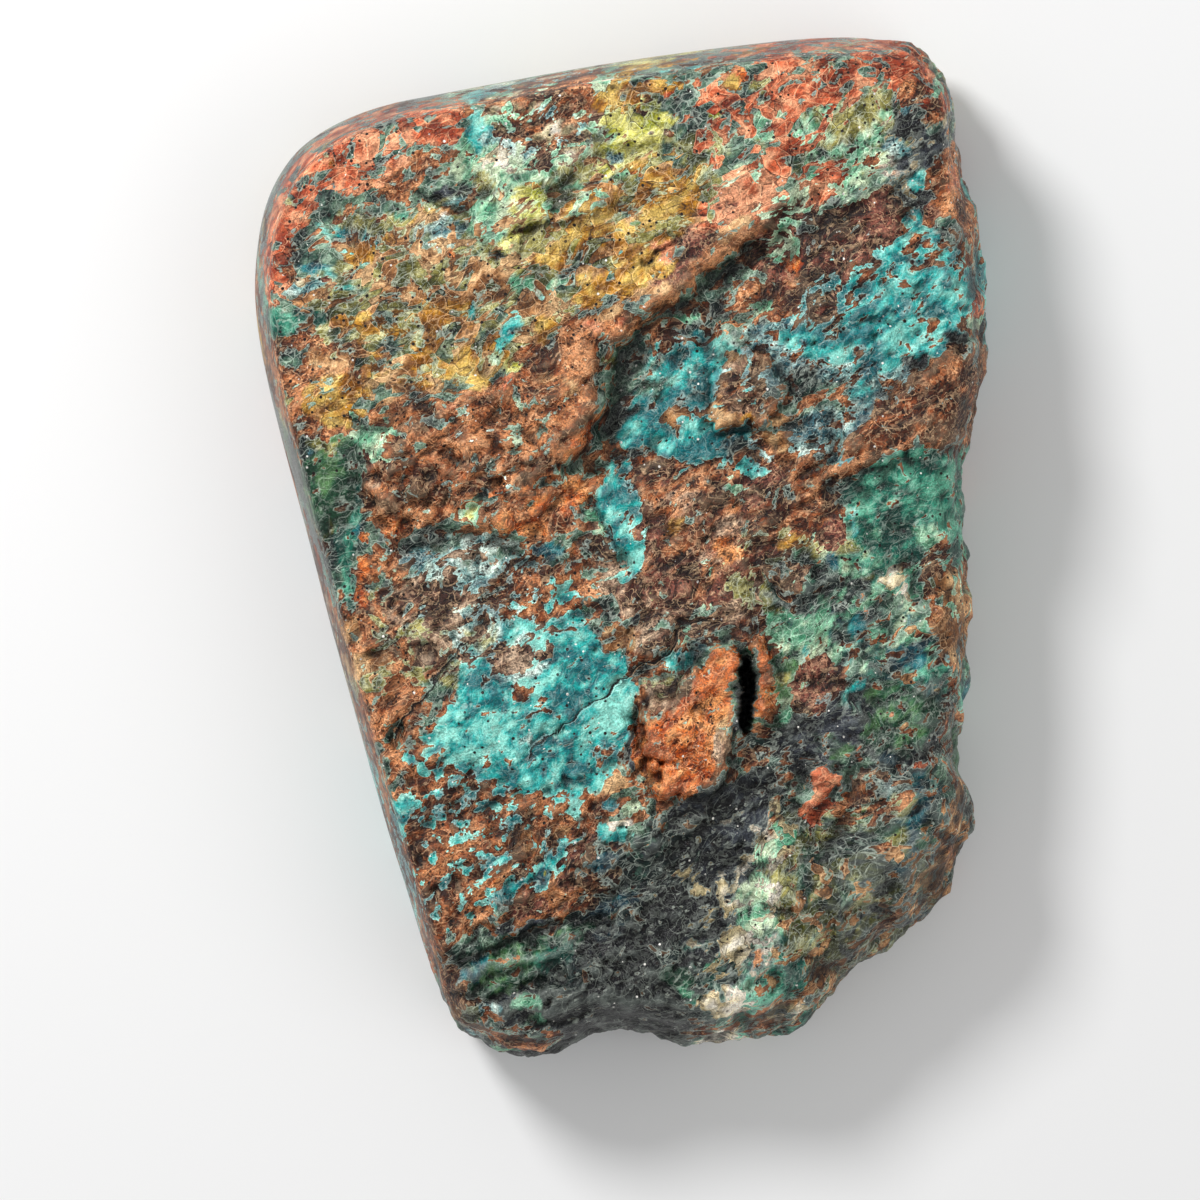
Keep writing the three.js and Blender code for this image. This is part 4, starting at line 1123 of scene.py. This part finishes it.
# The section's radius and height as shares, for places down the wall and under the widest ring: the face, the
# rounded shoulder, the wall and the rounded lower edge.
def sectionAt(ring, down, fall, under, polish):
    wallTop, wallTopLevel, shoulder = [slab[name][0] + (slab[name][1] - slab[name][0]) * polish
                                       for name in ("wallTop", "wallTopLevel", "shoulder")]
    bend = np.clip(down / slab["shoulderShare"], 0, 1) * math.pi / 2
    onShoulder = wallTop - (wallTop - shoulder) * (1 - np.sin(bend))
    radius = np.where(down > 0, onShoulder, shoulder * ring / slab["faceShare"])
    level = wallTopLevel + (1 - wallTopLevel) * np.cos(bend)
    radius = np.where(fall > 0, wallTop + (1 - wallTop) * np.sin(fall * math.pi / 2), radius)
    level = np.where(fall > 0, wallTopLevel + (slab["widestLevel"] - wallTopLevel) * fall, level)
    radius = np.where(under > 0, slab["flatShare"] + (1 - slab["flatShare"]) * np.cos(under), radius)
    level = np.where(under > 0, slab["widestLevel"] * (1 - np.sin(under)), level)
    return radius, level, wallTopLevel


# How far the wall is pushed outwards: the rough walls are chipped, the polished ones only a little wavy.
def wallPush(x, y, z, down, below, polish):
    size, reach, shift = relief["chips"]
    wallNoise = noiseAt(np.column_stack([x, y, z]), size, 4, shift)
    size, height, shift = relief["waves"]
    waves = noiseAt(np.column_stack([x, y, z]), size, 1, shift)
    gone = smooth(0, slab["chipsEnd"] * slab["backRings"], below)
    chips = smooth(0.0, slab["chipsFull"], down) * (1 - gone)
    outward = chips * (1 - polish) * reach * (2 * wallNoise - relief["chipsInward"])
    return outward + chips * polish * height * waves


def buildStone():
    mesh = slabMesh()
    grid = np.array([v.co for v in mesh.verts])
    u, v, below = grid[:, 0], grid[:, 1], -grid[:, 2]
    ring = np.maximum(np.abs(u), np.abs(v))
    turn = outlineTurn(u, v)
    edgeX, edgeY = radiusAt(turn) * np.cos(turn), radiusAt(turn) * np.sin(turn)
    polish = polishAt(turn)

    down = np.clip((ring - slab["faceShare"]) / (1 - slab["faceShare"]), 0, 1)
    fall = np.clip((down - slab["shoulderShare"]) / (1 - slab["shoulderShare"]), 0, 1)
    under = below / slab["backRings"] * math.pi / 2
    radius, level, wallTopLevel = sectionAt(ring, down, fall, under, polish)
    x, y = radius * edgeX, radius * edgeY
    seenX, seenY = seenFromCamera(x, y, slab["faceHeight"])
    height = faceHeightAt(seenX, seenY, np.clip(1 - down * slab["faceFade"], 0, 1))
    z = level * height
    push = wallPush(x, y, z, down, below, polish)
    x, y = x + push * np.cos(turn), y + push * np.sin(turn)

    for vertex, place in zip(mesh.verts, np.column_stack([x, y, z]) * mm):
        vertex.co = place
    data = bpy.data.meshes.new("stone")
    mesh.to_mesh(data)
    mesh.free()
    data.shade_smooth()
    drop = fall * (wallTopLevel - slab["widestLevel"]) * height + under * slab["lowerEdge"]
    paintStone(data, grid, x, y, z, height + push, drop, polish, below)
    stone = bpy.data.objects.new("stone", data)
    bpy.context.collection.objects.link(stone)
    return stone


# A node's output. Sums and products of outputs add Math nodes, and node() adds any other node.
class Wire:
    tree = None

    def __init__(self, socket):
        self.socket = socket

    @classmethod
    def node(cls, kind, settings, values, output=0):
        made = cls.tree.nodes.new("ShaderNode" + kind)
        for name, setting in settings.items():
            if name == "stops":
                ramp = made.color_ramp.elements
                while len(ramp) < len(setting):
                    ramp.new(0.5)
                for stop, (at, colour) in zip(ramp, setting):
                    stop.position = at
                    stop.color = colour
            else:
                setattr(made, name, setting)
        for name, value in values.items():
            if isinstance(value, Wire):
                cls.tree.links.new(value.socket, made.inputs[name])
            else:
                made.inputs[name].default_value = value
        return cls(made.outputs[output])

    def maths(self, operation, first, second):
        return Wire.node("Math", {"operation": operation}, {0: first, 1: second})

    def __add__(self, other):
        return self.maths("ADD", self, other)

    def __radd__(self, other):
        return self.maths("ADD", other, self)

    def __sub__(self, other):
        return self.maths("SUBTRACT", self, other)

    def __rsub__(self, other):
        return self.maths("SUBTRACT", other, self)

    def __mul__(self, other):
        return self.maths("MULTIPLY", self, other)

    def __rmul__(self, other):
        return self.maths("MULTIPLY", other, self)


def highest(first, second):
    return Wire.node("Math", {"operation": "MAXIMUM"}, {0: first, 1: second})


def absolute(value):
    return Wire.node("Math", {"operation": "ABSOLUTE"}, {0: value})


def ramped(value, low, high, start=0.0, end=1.0):
    return Wire.node("MapRange", {"interpolation_type": "LINEAR", "clamp": True},
                     {0: value, 1: low, 2: high, 3: start, 4: end})


# 6 and 7 are the Mix node's two colours, and 2 is the colour that it gives.
def mixed(factor, first, second, way="MIX"):
    return Wire.node("Mix", {"data_type": "RGBA", "blend_type": way}, {0: factor, 6: first, 7: second}, 2)


def multiplied(colour, red, green, blue):
    return mixed(1.0, colour, Wire.node("CombineColor", {}, {0: red, 1: green, 2: blue}), "MULTIPLY")


def scaled(vector, amount):
    return Wire.node("VectorMath", {"operation": "SCALE"}, {0: vector, 3: amount})


def noisy(place, size, detail, roughness=0.5, output=0):
    values = {"Vector": place, "Scale": 1 / size, "Detail": detail, "Roughness": roughness}
    return Wire.node("TexNoise", {}, values, output)


def cells(place, size, feature, output=0):
    return Wire.node("TexVoronoi", {"feature": feature}, {"Vector": place, "Scale": 1 / size}, output)


def parts(vector):
    separate = Wire.node("SeparateXYZ", {}, {0: vector}).socket.node
    return [Wire(out) for out in separate.outputs]


def attribute(name, output):
    return Wire.node("Attribute", {"attribute_type": "GEOMETRY", "attribute_name": name}, {}, output)


# A thin line where the value passes the line's own one.
def line(value, name):
    at, full, end, strength = ore["lines"][name]
    return ramped(absolute(value - at), full, end, strength, 0.0)


def mask(value, name):
    return ramped(value, *ore["masks"][name])


# The polished back shows the same ore cut through: rounded patches of minerals with thin veins between them.
back = {
    "bend": 9.0,
    "bendSize": 9.0,
    "patch": (13.0, 3, 0.55),  # size, octaves, roughness
    "grain": (4.5, 4, 0.6),
    "ground": ((0.3, "charcoal"), (0.38, "maroon"), (0.43, "rust"), (0.48, "tan"), (0.52, "olive"),
               (0.57, "rust"), (0.64, "coral")),
    "groundGrain": 0.5,  # how much of the pattern of each is grain and not patch
    "growth": ((0.32, "deepTeal"), (0.39, "turquoise"), (0.44, "sky"), (0.48, "turquoise"), (0.53, "emerald"),
               (0.58, "slate"), (0.64, "mint")),
    "growthGrain": 0.6,
    "borderAt": 0.49,
    "borderGrain": 0.6,
    "borderBlend": 0.004,
    "borderVein": (0.004, 0.01, 0.7),  # how far from its middle it is full and where it ends, strength
    "grainVeinAt": 0.55,
    "grainVein": (0.0048, 0.012, 0.6),
    "darkVeinAt": 0.45,
    "darkVein": (0.004, 0.014, 0.8),
    "gritTones": (0.3, 0.7, 0.8, 1.15),
    "roughness": 0.16,
}


def backLine(value, name):
    full, end, strength = back[name]
    return ramped(absolute(value), full, end, strength, 0.0)


def backRamp(name, patch, grain):
    stops = [(at, linear(minerals[mineral]["tones"][1])) for at, mineral in back[name]]
    share = back[name + "Grain"]
    return Wire.node("ValToRGB", {"stops": stops}, {0: grain * share + patch * (1 - share)})


def polishedShader(material, plain, grit):
    shader = material.node_tree.nodes.new("ShaderNodeBsdfPrincipled")
    shader.inputs["Roughness"].default_value = back["roughness"]
    shader.inputs["Specular IOR Level"].default_value = ore["specular"]
    bend = noisy(plain, back["bendSize"], 2, 0.5, 1)
    values = {0: bend, 1: (back["bend"],) * 3, 2: plain}
    place = Wire.node("VectorMath", {"operation": "MULTIPLY_ADD"}, values)
    patch = noisy(place, *back["patch"])
    grain = noisy(place, *back["grain"])
    border = patch + (grain - 0.5) * back["borderGrain"] - back["borderAt"]
    isGrowth = ramped(border, -back["borderBlend"], back["borderBlend"])
    colour = mixed(isGrowth, backRamp("ground", patch, grain), backRamp("growth", patch, grain))
    veins = highest(backLine(border, "borderVein"), backLine(grain - back["grainVeinAt"], "grainVein"))
    colour = mixed(veins, colour, linear(minerals["cream"]["tones"][0]))
    colour = mixed(backLine(grain - back["darkVeinAt"], "darkVein"), colour, linear(ore["pitShadeAndVeinColour"]))
    tone = ramped(grit, *back["gritTones"])
    colour = multiplied(colour, tone, tone, tone)
    material.node_tree.links.new(colour.socket, shader.inputs["Base Color"])
    return Wire(shader.outputs[0])


def oreMaterial():
    material = bpy.data.materials.new("copperOre")
    material.use_nodes = True
    Wire.tree = material.node_tree
    shader = material.node_tree.nodes["Principled BSDF"]
    shader.inputs["Specular IOR Level"].default_value = ore["specular"]

    place = Wire.node("TexCoord", {}, {}, "Object")
    plain = Wire.node("Mapping", {"vector_type": "TEXTURE"}, {"Vector": place, "Scale": (mm, mm, mm)})
    flow = attribute("flow", "Vector")
    gritty, flaky, waxy = parts(attribute("grains", "Vector"))
    cavity, crack, gloss = parts(attribute("form", "Vector"))
    vein, otherVein, contest = parts(attribute("veins", "Vector"))
    matt = 1 - gloss
    shown = {name: 1 - gloss * share for name, share in ore["polished"].items()}
    shares = {}
    for name, (forGritty, forFlaky, forAll) in ore["shares"].items():
        shares[name] = gritty * forGritty + flaky * forFlaky + forAll

    grit = noisy(plain, ore["grit"], 1)
    blob = noisy(flow, ore["blob"], 2)
    worm = noisy(plain, ore["worm"], 0)
    stroke = parts(cells(flow, ore["stroke"], "F1", "Color"))[0]
    pick, tone, outlined = parts(cells(flow, ore["scale"], "F1", "Color"))
    edge = cells(flow, ore["scale"], "DISTANCE_TO_EDGE")

    # the islands of one family of minerals in the other, with a pale outline and a painted shadow line beside
    # it
    flakyIslands, allIslands = ore["scaleIslands"]
    border = contest + (blob - 0.5) * ore["islands"] + (pick - 0.5) * (flaky * flakyIslands + allIslands)
    border = border + (grit - 0.5) * ore["gritIslands"]
    isCool = mask(border, "cool")
    colour = mixed(isCool, attribute("warmOre", "Color"), attribute("coolOre", "Color"))
    pale = mixed(isCool, linear(ore["warmLight"]), linear(ore["coolLight"]))
    light = mixed(ore["paleShare"], scaled(colour, ore["lighter"]), pale)
    dark = mixed(1.0, colour, ore["darker"], "MULTIPLY")
    lines = line(border, "paleBorder")
    shadows = line(border, "darkBorder")

    # the outlines of scales
    rim = line(edge, "rim") * shares["rims"]
    lines = highest(lines, rim * mask(outlined, "paleRims"))
    shadows = highest(shadows, rim * mask(outlined, "darkRims"))

    # short pale curls, each with a painted shadow line on one side
    curls = mask(blob, "curls") * (1 - waxy * ore["waxyCurls"]) * shares["curls"]
    curl = line(worm, "paleCurl") * curls
    lines = highest(lines, curl * ore["curlLight"])
    shadows = highest(shadows, line(worm, "darkCurl") * curls)

    # thin veins, each a pale line with a painted shadow line beside it
    wander = (grit - 0.5) * ore["veinWander"]
    veined = 1 - waxy * ore["waxyVeins"]
    for field in (vein, otherVein):
        bent = field + wander
        lines = highest(lines, line(bent, "paleVein") * veined)
        shadows = highest(shadows, line(bent, "darkVein") * veined)

    # light and dark grains
    darkGrains = mask(stroke, "darkGrains") * shares["darkGrains"]
    lightGrains = mask(stroke, "lightGrains") * shares["lightGrains"]
    colour = mixed(highest(darkGrains, shadows) * shown["dark"], colour, dark)
    colour = mixed(highest(lightGrains, lines) * shown["light"], colour, light)

    # pits, painted dark as painted shade, and glints, white specks painted in as painted highlights
    spots = cells(plain, ore["spot"], "F1")
    chance = parts(Wire(spots.socket.node.outputs["Color"]))[0]
    pit = ramped(spots - chance * ore["pitSpread"], *ore["pitEdge"], 1.0, 0.0) * shown["pits"]
    colour = mixed(pit * mask(chance, "pits"), colour, linear(ore["pitShadeAndVeinColour"]))
    spread, waxySpread = ore["glintSpread"]
    glint = mask(spots + chance * (spread - waxy * waxySpread), "glints") * mask(blob, "glintFields") * matt
    colour = mixed(glint, colour, linear(ore["glintColour"]))

    # uneven tones, painted shade in the hollows and on the polished walls, and pale crests
    speck = ore["speck"]
    uneven = (grit - 0.5) * (gritty * speck["gritty"] + speck["grit"])
    uneven = uneven + (tone - 0.5) * (flaky * speck["scale"]) + (blob - 0.5) * speck["blob"] + speck["plain"]
    shade = ramped(cavity, 0.0, 0.5, ore["hollowShade"], 1.0) * uneven * shown["shade"]
    red, green, blue = ore["cast"]
    colour = multiplied(colour, shade * red, shade * green, shade * blue)
    crest, crestShare = ore["crestLight"]
    colour = mixed(ramped(cavity, crest, 1.0, 0.0, crestShare) * matt, colour, light)

    # cracks, painted dark inside as painted shade, each with a pale side
    crackSide = attribute("warmOre", "Alpha") + (grit - 0.5) * ore["crackWander"]
    colour = mixed(line(crackSide, "paleCrack") * crack, colour, light)
    colour = mixed(line(crackSide, "darkCrack") * crack, colour, linear(ore["crackShadeColour"]))

    warmRough, coolRough, gritRough, glossRough = ore["roughness"]
    rough = ramped(isCool, 0.0, 1.0, warmRough, coolRough) + (grit - 0.5) * gritRough - gloss * glossRough
    bumps = ore["bumps"]
    height = grit * bumps["grit"] + blob * bumps["blob"] + tone * flaky * bumps["scale"]
    height = height + curl * bumps["curl"] - isCool * bumps["cool"]
    values = {"Strength": shown["bumps"], "Distance": ore["bumpHeight"] * mm, "Height": height}
    bump = Wire.node("Bump", {}, values)
    links = material.node_tree.links
    links.new(colour.socket, shader.inputs["Base Color"])
    links.new(rough.socket, shader.inputs["Roughness"])
    links.new(bump.socket, shader.inputs["Normal"])
    polished = polishedShader(material, plain, grit)
    whole = Wire.node("MixShader", {}, {0: mask(gloss, "back"), 1: Wire(shader.outputs[0]), 2: polished})
    links.new(whole.socket, material.node_tree.nodes["Material Output"].inputs["Surface"])
    return material


stone = buildStone()
print("stone built", len(stone.data.polygons), "faces")
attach(stone, "root")
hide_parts("nodule")

stone.data.materials.append(oreMaterial())
print("ore material made")

studio = {
    "floorSize": 900.0,
    "floorGap": 0.02,  # keeps the floor just clear of the flat back
    "floorColour": (0.86, 0.86, 0.86, 1),
    "floorRoughness": 0.9,
    "keyPlace": (-190.0, 210.0, 290.0),
    "keySize": 110.0,
    "keyWatts": 1.2,
    "fillPlace": (320.0, -160.0, 420.0),
    "fillSize": 400.0,
    "fillWatts": 0.5,
    "worldColour": (1, 1, 1, 1),
    "worldStrength": 0.47,
}


def makeFloor():
    mesh = bmesh.new()
    bmesh.ops.create_grid(mesh, x_segments=1, y_segments=1, size=studio["floorSize"] / 2 * mm)
    bmesh.ops.translate(mesh, verts=mesh.verts, vec=(0, 0, -studio["floorGap"] * mm))
    data = bpy.data.meshes.new("floor")
    mesh.to_mesh(data)
    mesh.free()
    floor = bpy.data.objects.new("floor", data)
    bpy.context.collection.objects.link(floor)
    paint = bpy.data.materials.new("floorPaint")
    paint.use_nodes = True
    shader = paint.node_tree.nodes["Principled BSDF"]
    shader.inputs["Base Color"].default_value = studio["floorColour"]
    shader.inputs["Roughness"].default_value = studio["floorRoughness"]
    data.materials.append(paint)


def makeLight(name, place, size, watts):
    lamp = bpy.data.lights.new(name, "AREA")
    lamp.shape = "DISK"
    lamp.size = size * mm
    lamp.energy = watts
    holder = bpy.data.objects.new(name, lamp)
    holder.location = Vector(place) * mm
    holder.rotation_euler = (-Vector(place)).to_track_quat("-Z", "Y").to_euler()
    bpy.context.collection.objects.link(holder)


def makeWorld():
    world = bpy.data.worlds.new("studio")
    world.use_nodes = True
    background = world.node_tree.nodes["Background"]
    background.inputs["Color"].default_value = studio["worldColour"]
    background.inputs["Strength"].default_value = studio["worldStrength"]
    bpy.context.scene.world = world


def makeCamera():
    lens = bpy.data.cameras.new("camera")
    lens.sensor_width = camera["sensor"]
    lens.lens = camera["sensor"] * camera["distance"] / camera["width"]
    lens.clip_start = camera["nearest"] * mm
    lens.clip_end = camera["farthest"] * mm
    holder = bpy.data.objects.new("camera", lens)
    holder.location = Vector((*camera["centre"], camera["distance"] + camera["outlineHeight"])) * mm
    bpy.context.collection.objects.link(holder)
    bpy.context.scene.camera = holder


makeFloor()
makeLight("key", studio["keyPlace"], studio["keySize"], studio["keyWatts"])
makeLight("fill", studio["fillPlace"], studio["fillSize"], studio["fillWatts"])
makeWorld()
makeCamera()
bpy.context.scene.view_settings.view_transform = "Standard"
print("studio set")
